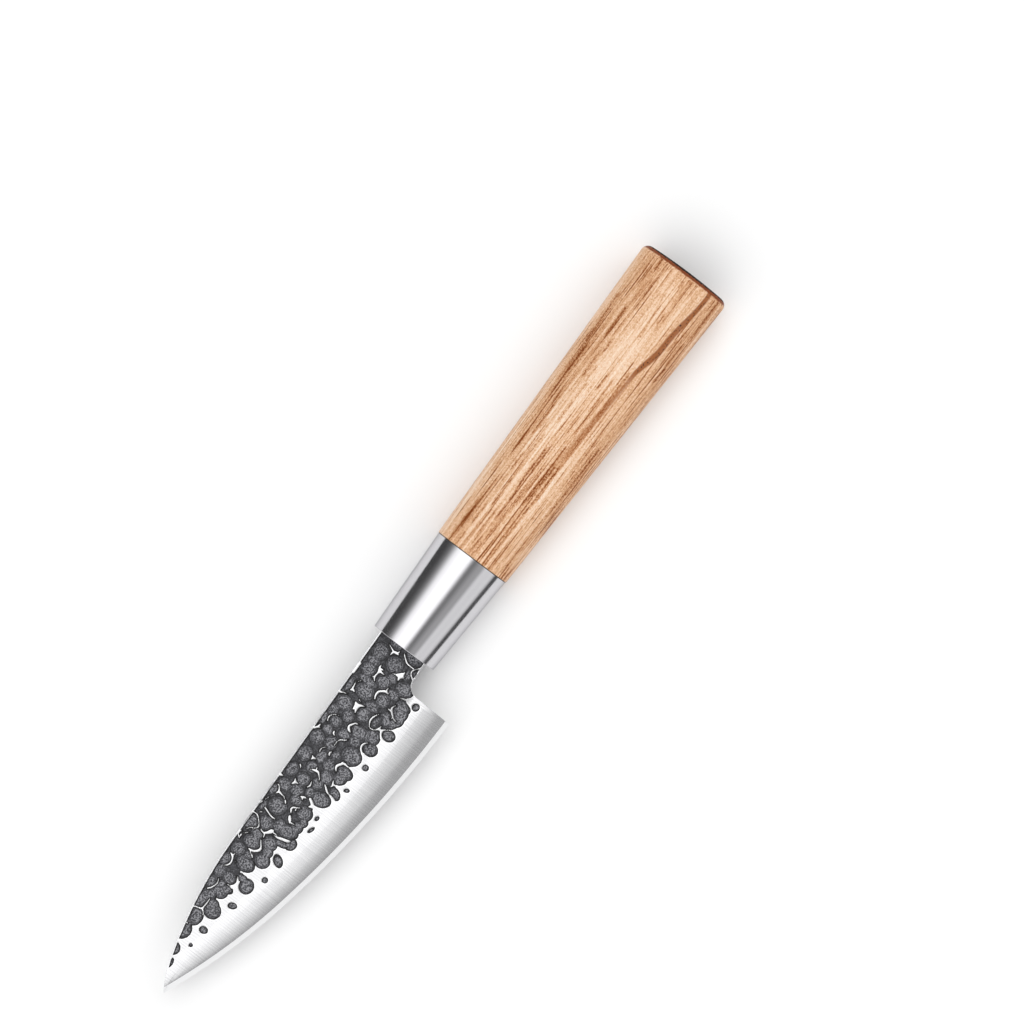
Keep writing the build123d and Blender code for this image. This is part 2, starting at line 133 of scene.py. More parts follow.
lands = [
    [(-333.5, -13.3, 0.9), (-331.8, -10.5, 0.7), (-330.8, -7, 0.7), (-329.8, -4.5, 0.9), (-327, -3.6, 0.7),
     (-319.5, -3.4, 0.6), (-317, -3.9, 0.3)],
    [(-329.8, -3.5, 0.8), (-331.5, -1, 0.5), (-334, 0.8, 0.4)],
    [(-349.9, -9, 0.5), (-349.9, -6.8, 0.6)],
    [(-315.2, -16, 0.5), (-313.6, -15.9, 0.5)],
    [(-310, -11.8, 0.6), (-307.5, -9.5, 0.7), (-304, -8, 0.6), (-300.5, -7, 0.6), (-297.5, -7.8, 0.5),
     (-295.3, -9, 0.3)],
    [(-295, 2, 0.4), (-295, 6, 0.6), (-294.5, 8, 1), (-290, 8.8, 1.2), (-286, 8, 0.9), (-282.5, 5.3, 0.3)],
    [(-277, 7.5, 0.4), (-276.8, 9.5, 0.7), (-276, 12, 1.2)],
    [(-281.6, -12.5, 0.4), (-279.5, -10, 0.6), (-277, -8.8, 0.8), (-274.5, -8.7, 0.8), (-271, -10, 0.7),
     (-268.7, -11.8, 1.1), (-267.6, -15, 0.4)],
    [(-268.5, -11.3, 0.8), (-265.3, -11, 0.3)],
    [(-272.2, -5.8, 0.5), (-272, -5.4, 0.5)],
    [(-253.3, -3, 0.4), (-253.5, -0.5, 0.9), (-252.3, 3, 1.1), (-249.8, 5.7, 1.2), (-247, 6.8, 1.1),
     (-244.5, 5.8, 0.8), (-242, 3.8, 0.5), (-239.5, 1.8, 0.4)],
    [(-254, -0.5, 0.5), (-256, 1.5, 0.4), (-257.5, 4.5, 0.7), (-259, 5.7, 0.4)],
    [(-250.6, -16.8, 0.4), (-249, -19, 0.5), (-247.5, -20.3, 0.6), (-244.5, -20.5, 0.8),
     (-243.6, -19.3, 0.4)],
    [(-248.8, -17.3, 0.5), (-246.8, -17.3, 0.7)],
    [(-244, -16.2, 0.4), (-242, -14, 0.4), (-240.3, -13.2, 0.4)],
    [(-238.8, -16.3, 0.5), (-236, -14.5, 0.5), (-234, -10.8, 0.5), (-231.8, -8.7, 0.5), (-230, -8.2, 0.6),
     (-227.5, -9.6, 0.5), (-224, -12.8, 0.5), (-221.5, -16, 0.6), (-221, -19, 0.5), (-221.3, -21, 0.8)],
    [(-230.8, -5, 0.4), (-231.7, -2, 0.6), (-231.5, 0.3, 0.8), (-229, 3, 1.4), (-226.3, 4.8, 1.9),
     (-224.5, 6.3, 0.7)],
    [(-231.7, 0.8, 0.7), (-235.8, 2.3, 0.4)],
    [(-228.3, 7, 0.3), (-227.8, 12, 0.6), (-227, 15, 1.1), (-225.8, 19, 1.3), (-224.3, 24, 1.3),
     (-223, 25.8, 0.7)],
    [(-226, 6.5, 0.5), (-226.3, 12, 0.5)],
    [(-217.8, -16.3, 0.4), (-216.3, -14.3, 0.5)],
    [(-210.8, -14.8, 0.6), (-212.3, -10.5, 0.6), (-213.8, -6, 0.6), (-214.4, -3, 0.7), (-214.2, 0.5, 0.4)],
    [(-208, 14.3, 0.9), (-205.8, 12.6, 1.5), (-203.3, 10.5, 1.2)],
    [(-207.8, 14.5, 0.8), (-207.2, 19, 0.4)],
    [(-200, 9.6, 0.3), (-197.8, 8.2, 0.9), (-196, 7.2, 0.9), (-193.8, 8.2, 0.8), (-192.5, 10.5, 0.6),
     (-190, 14.5, 0.4)],
    [(-195, 11.6, 0.7), (-193.8, 11.2, 0.5)],
    [(-203.8, -19, 0.4), (-199.8, -17.8, 0.4)],
    [(-194, -15.2, 0.3), (-191.5, -13.8, 0.7), (-190, -12.5, 1.1), (-190.5, -9, 0.6), (-190.8, -6, 0.5),
     (-192.5, -4.2, 0.4)],
    [(-190, -12.8, 1), (-187.5, -14.5, 0.7), (-185, -16.2, 0.6), (-184.2, -19.5, 0.3)],
    [(-193, -2.8, 0.5), (-195, -0.8, 0.7)],
    [(-184.5, 19.5, 0.4), (-181.8, 23, 1.6), (-180.6, 28.3, 0.9)],
    [(-181.8, 23, 1.6), (-179, 20, 1.5), (-177, 16.3, 1.2)],
    [(-156.8, 19.3, 0.5), (-158.5, 22, 0.8), (-160.5, 24.5, 0.9), (-162, 27.5, 0.6), (-162.3, 31, 0.5),
     (-163.5, 36, 0.8)],
    [(-155, 25.6, 0.4), (-152.5, 26, 0.9), (-148.3, 23.8, 0.4)],
    [(-152, 26, 0.9), (-151.3, 29, 0.7), (-150.3, 33, 1.2)],
    [(-150.6, 6, 1.2), (-151.5, 2, 0.9), (-153.5, -2.2, 0.3)],
    [(-151, 4, 0.9), (-147.5, 2.8, 0.4)],
    [(-150.8, 7, 0.8), (-154.5, 11, 0.5), (-157, 12.5, 0.3)],
    [(-158, -9.8, 0.3), (-156, -11.5, 0.6), (-154.8, -13, 0.4)],
    [(-139.5, 20.5, 0.4), (-136.5, 18.2, 1), (-134, 18, 1.3), (-131, 20, 1.1), (-128.5, 22.5, 1),
     (-128.8, 27, 0.6), (-127.8, 31, 0.6), (-127.5, 36, 0.9)],
    [(-130.5, 20, 0.8), (-127, 20, 0.4)],
    [(-134, -4.3, 0.5), (-131, -5.3, 0.6), (-128.5, -4.5, 0.5), (-125.3, -1.5, 0.4)],
    [(-119.5, 3.2, 0.4), (-115, 3.3, 0.6), (-111.5, 5, 0.6), (-109, 9, 0.6), (-106.5, 10.5, 0.3)],
    [(-117.5, -23.4, 0.8), (-114.5, -21.2, 0.9), (-110, -20.2, 0.3)],
    [(-114.5, -21, 0.8), (-114, -18, 0.4)],
    [(-104.5, -16.7, 0.5), (-100.5, -18.2, 0.6), (-97, -17.3, 0.6), (-94.5, -14.5, 0.5), (-93.3, -11, 0.4)],
    [(-99.5, 8, 0.5), (-98, 5, 1.2), (-95, 3.5, 1), (-91.5, 5.5, 0.8), (-89.3, 7, 0.7), (-88.8, 10.5, 0.3)],
    [(-97.3, 29, 0.3), (-99.5, 26.7, 0.7), (-103, 25.4, 0.9), (-106.5, 26.7, 0.9), (-109.3, 30, 1),
     (-110.5, 33, 1.5)],
    [(-73.3, -24.8, 0.9), (-71.8, -21, 0.5), (-70.6, -17.3, 0.4)],
    [(-81.5, 0.4, 0.3), (-78, -1, 1.2), (-75, -2.3, 2.3), (-72, 0.5, 1), (-70.8, 4, 0.4)],
    [(-79, -3.5, 0.8), (-75, -2.5, 2.4), (-72, -6, 0.4)],
    [(-68.2, -4.5, 0.3), (-68.9, -1.5, 0.4)],
    [(-66.8, 20.5, 0.3), (-70, 19, 0.5), (-74, 17.3, 0.8), (-78, 17, 0.8), (-81.5, 18.5, 0.5),
     (-84, 20.5, 0.5), (-84.2, 24, 0.6), (-82.3, 27, 0.5), (-80, 29, 1.1), (-79.7, 31.5, 0.8),
     (-77, 34.5, 0.6), (-74.5, 38, 0.5), (-72.8, 42, 0.7)],
    [(-79.7, 31.3, 0.8), (-83, 33.5, 0.7), (-86.5, 36.5, 0.9)],
    [(-80, 28.8, 1), (-76.5, 29.2, 0.3)],
    [(-65.5, -17.3, 0.6), (-64, -15.5, 1.2), (-64.8, -13, 0.4)],
    [(-64, -16.3, 1), (-59.5, -17, 0.6), (-55.5, -18, 0.5)],
    [(-53.8, -15.6, 0.4), (-51.5, -14, 0.5)],
    [(-58.5, 7.8, 0.5), (-55, 6.2, 0.9), (-50.5, 6.2, 1), (-48, 8.5, 1), (-45.8, 12, 1.1),
     (-46.3, 16, 0.4)],
    [(-45.5, 12, 0.9), (-41, 11.8, 0.4)],
    [(-58.5, 24, 0.4), (-58, 28.3, 1), (-60, 31, 0.8), (-62.5, 34, 0.7), (-64, 38.3, 0.4)],
    [(-58, 28.3, 1), (-54.5, 26.8, 0.8), (-51, 28.5, 0.3)],
    [(-62, 33.3, 0.6), (-65.5, 32.5, 0.3)],
    [(-42.5, 26.5, 0.3), (-41.3, 30, 0.5), (-39.8, 35, 1.2)],
    [(-44, -3.5, 0.4), (-40.5, -5.8, 0.8), (-36, -5.6, 0.8), (-33, -5.5, 1.5), (-30, -7.3, 0.9),
     (-27.5, -7.6, 0.5)],
    [(-40.5, -6, 0.7), (-42.5, -8.5, 0.2)],
    [(-33, -5, 1.4), (-33.2, -2, 0.7), (-33.3, 0.5, 0.3)],
    [(-31, -5.5, 1.2), (-30, -3, 0.4)],
    [(-27.6, 5.5, 0.3), (-26, 10, 0.8), (-24.5, 14, 2.3), (-23.7, 18.5, 0.4)],
    [(-30.5, 15, 0.4), (-27, 14.5, 1.3), (-24, 14.3, 2.3), (-21, 15.6, 1), (-19.3, 15.7, 0.5)],
    [(-4.5, 4, 0.4), (-8, 8.5, 0.7), (-10.5, 12.5, 0.7), (-11, 17, 0.6), (-11, 20.5, 0.5)],
    [(-20.8, 28.5, 0.9), (-19, 24.5, 0.6), (-17, 22, 0.6), (-14.5, 20.8, 0.6), (-12, 21.5, 0.6),
     (-8.5, 24, 0.5), (-6.5, 26, 1), (-4, 26.3, 0.5)],
    [(-13.5, -6.5, 0.5), (-9.5, -5.5, 1), (-8.5, -2.5, 1.3), (-8.7, 0, 0.5)],
    [(-9, -6, 0.8), (-7.5, -9.5, 0.6), (-6, -13.5, 0.3)],
    [(-8.3, -2, 1), (-5.5, -1, 0.4)],
    [(-209.5, -21.5, 0.9), (-207.3, -20.3, 0.4)],
    [(-175.2, -22.3, 1.4), (-174.8, -19.5, 0.4)],
    [(-50, -25.2, 0.8), (-38, -25.2, 0.7)],
    [(-176, -7.5, 0.4), (-172.5, -6, 1.3), (-169.5, -8, 0.4)],
    [(-172.5, -6, 1.2), (-172, -2.5, 0.4)],
    [(-169.5, 6.5, 0.4), (-166.5, 8.3, 0.7), (-162.5, 7.2, 0.4)],
    [(-182.5, 10.5, 0.4), (-180, 9.5, 1.1), (-178.6, 12.5, 0.4)],
    [(-180, 9.5, 1.1), (-181, 6.5, 0.3)],
    [(-145, -6.5, 0.4), (-142.5, -6, 1), (-141.5, -3, 0.4)],
    [(-142.5, -6, 1), (-140.5, -8.3, 0.3)],
    [(-131, 5.5, 0.4), (-128.5, 4.3, 0.9), (-126, 5.5, 0.3)],
    [(-111.5, -2.5, 0.4), (-110.5, -4.5, 0.9), (-108, -5.5, 0.4)],
]

closed_limit = np.array([
    (-352, -12), (-336, -7), (-331, -4), (-322, -2), (-315, 2), (-312, 1), (-305, 3), (-297, 5), (-292, 1),
    (-285, 1), (-281, 6), (-276, 4), (-268, 8), (-262, 10), (-255, 14), (-245, 15), (-240, 12), (-235, 14),
    (-231, 18), (-226, 25), (-218, 24), (-210, 25), (-200, 26), (-190, 24), (-184, 25), (-180, 23),
    (-176, 25), (-172, 28), (-165, 29), (-160, 32), (-154, 31), (-151, 29), (-148, 29), (-143, 30),
    (-135, 30), (-128, 29), (-120, 29), (-112, 29), (-108, 31), (-103, 32), (-97, 33), (-90, 35),
    (-86, 34.5), (-83, 33), (-79.5, 31), (-76, 35), (-73, 39), (-68, 41), (-60, 40), (-50, 39), (-45, 39),
    (-42, 35), (-40, 33), (-36, 33), (-28, 28), (-24, 30), (-20, 44), (0, 44),
])


def arc_through(start, heading, end):
    """The centre and radius of the arc that leaves start along heading and reaches end: the centre lies
    square to the heading, at half the squared span over the span's part along that square line."""
    span = end - start
    square = np.array([-heading[1], heading[0]])
    square = square * np.sign(span @ square)
    radius = span @ span / (2 * span @ square)
    return start + radius * square, radius


def heading_after(centre, end, heading):
    """The heading at an arc's end: square to its radius there, on the side of the heading it came with."""
    radial = (end - centre) / np.linalg.norm(end - centre)
    onward = np.array([-radial[1], radial[0]])
    return onward * np.sign(onward @ heading)


toward_tip = np.array([-1.0, 0.0])
heel_centre, heel_radius = arc_through(heel, toward_tip, belly)
belly_heading = heading_after(heel_centre, belly, toward_tip)
belly_centre, belly_radius = arc_through(belly, belly_heading, tip)
spine_heading = np.array([-1.0, -spine_fall]) / math.hypot(1, spine_fall)
bend_centre, bend_radius = arc_through(spine_break, spine_heading, spine_knee)
knee_heading = heading_after(bend_centre, spine_knee, toward_tip)
knee_centre, knee_radius = arc_through(spine_knee, knee_heading, tip)


def edge_line(x):
    """The cutting edge's y at each x: the lower half of the heel's circle, past the belly of the tip's."""
    heel_part = heel_centre[1] - np.sqrt(np.maximum(heel_radius**2 - (x - heel_centre[0]) ** 2, 0))
    belly_part = belly_centre[1] - np.sqrt(np.maximum(belly_radius**2 - (x - belly_centre[0]) ** 2, 0))
    return np.where(x > belly[0], heel_part, belly_part)


def spine_line(x):
    """The spine's y at each x: a straight fall, then the upper halves of two circles down to the tip."""
    bend_part = bend_centre[1] + np.sqrt(np.maximum(bend_radius**2 - (x - bend_centre[0]) ** 2, 0))
    knee_part = knee_centre[1] + np.sqrt(np.maximum(knee_radius**2 - (x - knee_centre[0]) ** 2, 0))
    straight = spine_height + np.minimum(x, 0) * spine_fall
    return np.where(x > spine_break[0], straight, np.where(x > spine_knee[0], bend_part, knee_part))


def edge_height(x, y):
    """How far each place lies inside the edge: the edge circle's radius less the distance to its centre."""
    past_belly = (x - belly[0]) * belly_heading[0] + (y - belly[1]) * belly_heading[1] > 0
    heel_part = heel_radius - np.hypot(x - heel_centre[0], y - heel_centre[1])
    belly_part = belly_radius - np.hypot(x - belly_centre[0], y - belly_centre[1])
    return np.where(past_belly, belly_part, heel_part)


def land_path(knots, steps=4):
    """A land's line as closer points: between neighbouring knots a cubic curve, whose slope at each knot is
    that of the line between the knots on its two sides. The half-width is carried along like the place."""
    knots = np.array(knots, float)
    slopes = np.gradient(knots, axis=0)
    share = np.arange((len(knots) - 1) * steps + 1) / steps
    index = np.minimum(share.astype(int), len(knots) - 2)
    t = (share - index)[:, None]
    rising, falling = t**2 * (3 - 2 * t), (1 - t) ** 2 * (1 + 2 * t)
    return (falling * knots[index] + t * (1 - t) ** 2 * slopes[index] + rising * knots[index + 1]
            + t**2 * (t - 1) * slopes[index + 1])


def hammered_fields(x, y):
    """How far each place lies inside the darkened surface, in millimetres and negative on bright steel, and
    how near a mark's middle it is, from 1 there to 0 at the rim. A mark's inset is what its oval's reach
    lacks of one times its smaller half-width, and a land's is its line's distance less its half-width."""
    along, down = x / photo_pixel, -y / photo_pixel
    inside = np.interp(along, closed_limit[:, 0], closed_limit[:, 1]) - down
    middle = np.zeros(x.shape)
    for mark_along, mark_down, half_length, half_width, turn in hammer_marks:
        cos, sin = math.cos(math.radians(turn)), math.sin(math.radians(turn))
        dx, dy = along - mark_along, down - mark_down
        reach = np.hypot((dx * cos + dy * sin) / half_length, (dy * cos - dx * sin) / half_width)
        inside = np.maximum(inside, (1 - reach) * min(half_length, half_width))
        middle = np.maximum(middle, 1 - reach)
    for knots in lands:
        path = land_path(knots)
        for start, end in zip(path[:-1], path[1:]):
            dx, dy = end[0] - start[0], end[1] - start[1]
            share = np.clip(((along - start[0]) * dx + (down - start[1]) * dy) / (dx * dx + dy * dy), 0, 1)
            away = np.hypot(along - start[0] - share * dx, down - start[1] - share * dy)
            inside = np.minimum(inside, away - start[2] - share * (end[2] - start[2]))
    return inside * photo_pixel, middle


def fillet_arc(corner, first, second, radius, count):
    """Points along the arc of a radius that rounds a corner between two neighbours, from the first on."""
    to_first = (first - corner) / np.linalg.norm(first - corner)
    to_second = (second - corner) / np.linalg.norm(second - corner)
    half = math.acos(np.clip(to_first @ to_second, -1, 1)) / 2
    middle = (to_first + to_second) / np.linalg.norm(to_first + to_second)
    centre = corner + middle * radius / math.sin(half)
    start = corner + to_first * radius / math.tan(half) - centre
    end = corner + to_second * radius / math.tan(half) - centre
    share = np.linspace(0, 1, count)[:, None]
    turn = math.acos(np.clip(start @ end / radius**2, -1, 1))
    return centre + (np.sin((1 - share) * turn) * start + np.sin(share * turn) * end) / math.sin(turn)


# The outline's two long sides, point by point from the tip to the tang: the lower side takes in the cutting
# edge, the heel, the rounded choil and the neck, and the upper side is the spine. The fan is where on the
# spine the columns from the heel, the choil's two ends and the ferrule's face arrive. The first column
# stands off the tip by the gap, a share of the way to the heel, so that no ring shrinks to a point.
tip_columns, heel_columns, choil_columns, neck_columns = 440, 40, 16, 24
fan = (-11.5, -6.6, -3.6, 0.0)
tip_gap = 0.0015
run = np.linspace(tip_gap, 1, tip_columns)
lower_x = tip[0] + (heel[0] - tip[0]) * run
upper_x = tip[0] + (fan[0] - tip[0]) * run
choil = fillet_arc(choil_corner, heel, np.array([0.0, neck_underside]), choil_radius, choil_columns)
climb = np.linspace(0, 1, heel_columns)[1:, None]
reach_back = np.linspace(0, 1, neck_columns)[1:, None]
lower = np.concatenate([
    np.stack([lower_x, edge_line(lower_x)], 1),
    heel + (choil[0] - heel) * climb,
    choil[1:],
    choil[-1] + (np.array([0.0, neck_underside]) - choil[-1]) * reach_back,
])
upper_x = np.concatenate([
    upper_x,
    fan[0] + (fan[1] - fan[0]) * climb[:, 0],
    fan[1] + (fan[2] - fan[1]) * np.linspace(0, 1, choil_columns)[1:],
    fan[2] + (fan[3] - fan[2]) * reach_back[:, 0],
])
upper = np.stack([upper_x, spine_line(upper_x)], 1)
width = np.linalg.norm(upper - lower, axis=1)

# Rows from the edge to the spine: a pair close together at the bevel's shoulder, a few on the grind, and
# close ones over the hammered part. Where the tip gets narrow, the rows below that part take no more than
# their share of the width. Behind the heel, where no edge is, all spread out evenly.
shoulder_half = 0.03
low_rows = np.array([0, bevel_width - shoulder_half, bevel_width + shoulder_half, 2.0, 3.0, 4.0])
hammered_rows = 85
hammered_start = np.interp(lower[:, 0], [tip[0], belly[0], heel[0]], [3.6, 6.0, 6.8])
low_share = 0.55
squeeze = np.minimum(1, low_share * width / hammered_start)[:, None]
even = np.clip((np.arange(len(width)) - tip_columns) / heel_columns, 0, 1)[:, None]
top = (width - spine_round)[:, None]
start = hammered_start[:, None] * squeeze
rising = start + (top - start) * np.linspace(0, 1, hammered_rows)
offsets = np.concatenate([low_rows * squeeze, rising], 1)
spread = top * np.linspace(0, 1, offsets.shape[1])
offsets = offsets * (1 - even) + spread * even
offsets = np.concatenate([offsets, width[:, None]], 1)
across = (offsets / width[:, None])[..., None]
plan = lower[:, None] + (upper - lower)[:, None] * across
x, y = plan[..., 0], plan[..., 1]
rise = edge_height(x, y)
# The half thickness: straight over the bevel, then a hollow whose slope fades with the square of what is
# left of its height, lower and less steep toward the tip. Above it the face rises evenly and very little,
# and toward the neck it swells to full thickness.
grind_height = np.interp(x, grind_stations, grind_heights)
grind_slope = np.tan(np.radians(np.interp(x, grind_stations, grind_degrees)))
left_over = np.clip(1 - (rise - bevel_width) / grind_height, 0, 1)
ground = bevel_half + grind_slope * grind_height / 3 * (1 - left_over**3)
honed = edge_half + np.maximum(rise, 0) * (bevel_half - edge_half) / bevel_width
flat = neck_half + (neck_half - tip_half) * x / blade_reach
above = np.maximum(rise - bevel_width - grind_height, 0)
face = ground + face_slope * above
toward_neck = np.clip((x - neck_blend[0]) / (neck_blend[1] - neck_blend[0]), 0, 1)
above_ground = np.clip(above / swell_height, 0, 1)
swell = (toward_neck * above_ground) ** 2 * (3 - 2 * toward_neck) * (3 - 2 * above_ground)
face = face + swell * np.maximum(flat - face, 0)
half = np.minimum(flat, np.where(rise < bevel_width, honed, face))
inset, middle = hammered_fields(x, y)
from_spine = width[:, None] - offsets
behind_heel = (np.arange(len(width)) >= tip_columns + heel_columns // 2)[:, None]
inset = np.minimum(inset, from_spine - bright_rim)
inset = np.where(behind_heel, np.minimum(inset, offsets - bright_rim), inset)
half = half - mark_sink * np.clip(inset / mark_wall, 0, 1) - mark_bowl * middle * (2 - middle) * (inset > 0)
half[:, -1] -= spine_round
left = np.stack([x, y, half], -1)

# The tang: the neck's section once more behind the ferrule's face, then the shoulder and the narrower bar
neck_middle = (spine_height + neck_underside) / 2
shoulder_half_height, end_half_height = tang_half_heights
tang_lows = np.array([neck_underside, neck_middle - shoulder_half_height, neck_middle - end_half_height])
tang_highs = np.array([spine_height, neck_middle + shoulder_half_height, neck_middle + end_half_height])
tang_stations = np.array([tang_start, tang_start, tang_length])
tang_y = tang_lows[:, None] + (tang_highs - tang_lows)[:, None] * across[-1, :, 0]
tang_x = np.broadcast_to(tang_stations[:, None], tang_y.shape)
tang_left = np.stack([tang_x, tang_y, np.full(tang_y.shape, neck_half)], -1)
left = np.concatenate([left, tang_left])
rise = np.concatenate([rise, np.full(tang_y.shape, heel_depth)])
# The tang is bare steel, far outside the darkened surface
bare = -1.5
inset = np.concatenate([inset, np.full(tang_y.shape, bare)])
middle = np.concatenate([middle, np.zeros(tang_y.shape)])
right = left[:, ::-1] * (1, 1, -1)
blade_rings = np.concatenate([left, right], 1)


def tube_mesh(name, rings, attributes=(), sharp_degrees=30, close_ends=True):
    """A closed skin over a grid of points: row i is a ring round the piece, neighbouring rings are joined
    by quads, and a face closes each end ring. Points are millimetres in the knife's own axes."""
    rows, count = rings.shape[:2]
    index = np.arange(rows * count).reshape(rows, count)
    ahead = np.roll(index, -1, axis=1)
    quads = np.stack([index[:-1], ahead[:-1], ahead[1:], index[1:]], -1).reshape(-1, 4)
    faces = [tuple(quad) for quad in quads.tolist()]
    if close_ends:
        faces += [tuple(index[0, ::-1].tolist()), tuple(index[-1].tolist())]
    mesh = bpy.data.meshes.new(name)
    mesh.from_pydata((knife_zero + rings.reshape(-1, 3) * millimetre).tolist(), [], faces)
    for label, values in attributes:
        layer = mesh.attributes.new(label, "FLOAT", "POINT")
        layer.data.foreach_set("value", np.asarray(values, np.float32).ravel())
    mesh.validate()
    mesh.shade_smooth()
    mesh.set_sharp_from_angle(angle=math.radians(sharp_degrees))
    piece = bpy.data.objects.new(name, mesh)
    bpy.context.scene.collection.objects.link(piece)
    return piece


def linear(hex_colour):
    """An sRGB hex colour as the linear values that a shader takes."""
    channels = [int(hex_colour[i : i + 2], 16) / 255 for i in (1, 3, 5)]
    return [c / 12.92 if c <= 0.04045 else ((c + 0.055) / 1.055) ** 2.4 for c in channels] + [1.0]


def per_metre(*sizes):
    """A pattern's scale from the real size of its cells in millimetres, one size or one for each axis: how
    many of them go into a metre."""
    scales = [1 / (size * millimetre) for size in sizes]
    return scales if len(scales) > 1 else scales[0]


def add(tree, kind, inputs=None, **settings):
    """Adds a node of a kind, which is its type without the word ShaderNode. Settings are its own
    properties, and each input is a value or another node's output socket."""
    node = tree.nodes.new("ShaderNode" + kind)
    for label, value in settings.items():
        setattr(node, label, value)
    for key, value in (inputs or {}).items():
        if isinstance(value, bpy.types.NodeSocket):
            tree.links.new(value, node.inputs[key])
        else:
            node.inputs[key].default_value = value
    return node


def new_material(name):
    """An empty node material, its tree and its output node."""
    material = bpy.data.materials.new(name)
    material.use_nodes = True
    material.node_tree.nodes.clear()
    return material, material.node_tree, material.node_tree.nodes.new("ShaderNodeOutputMaterial")


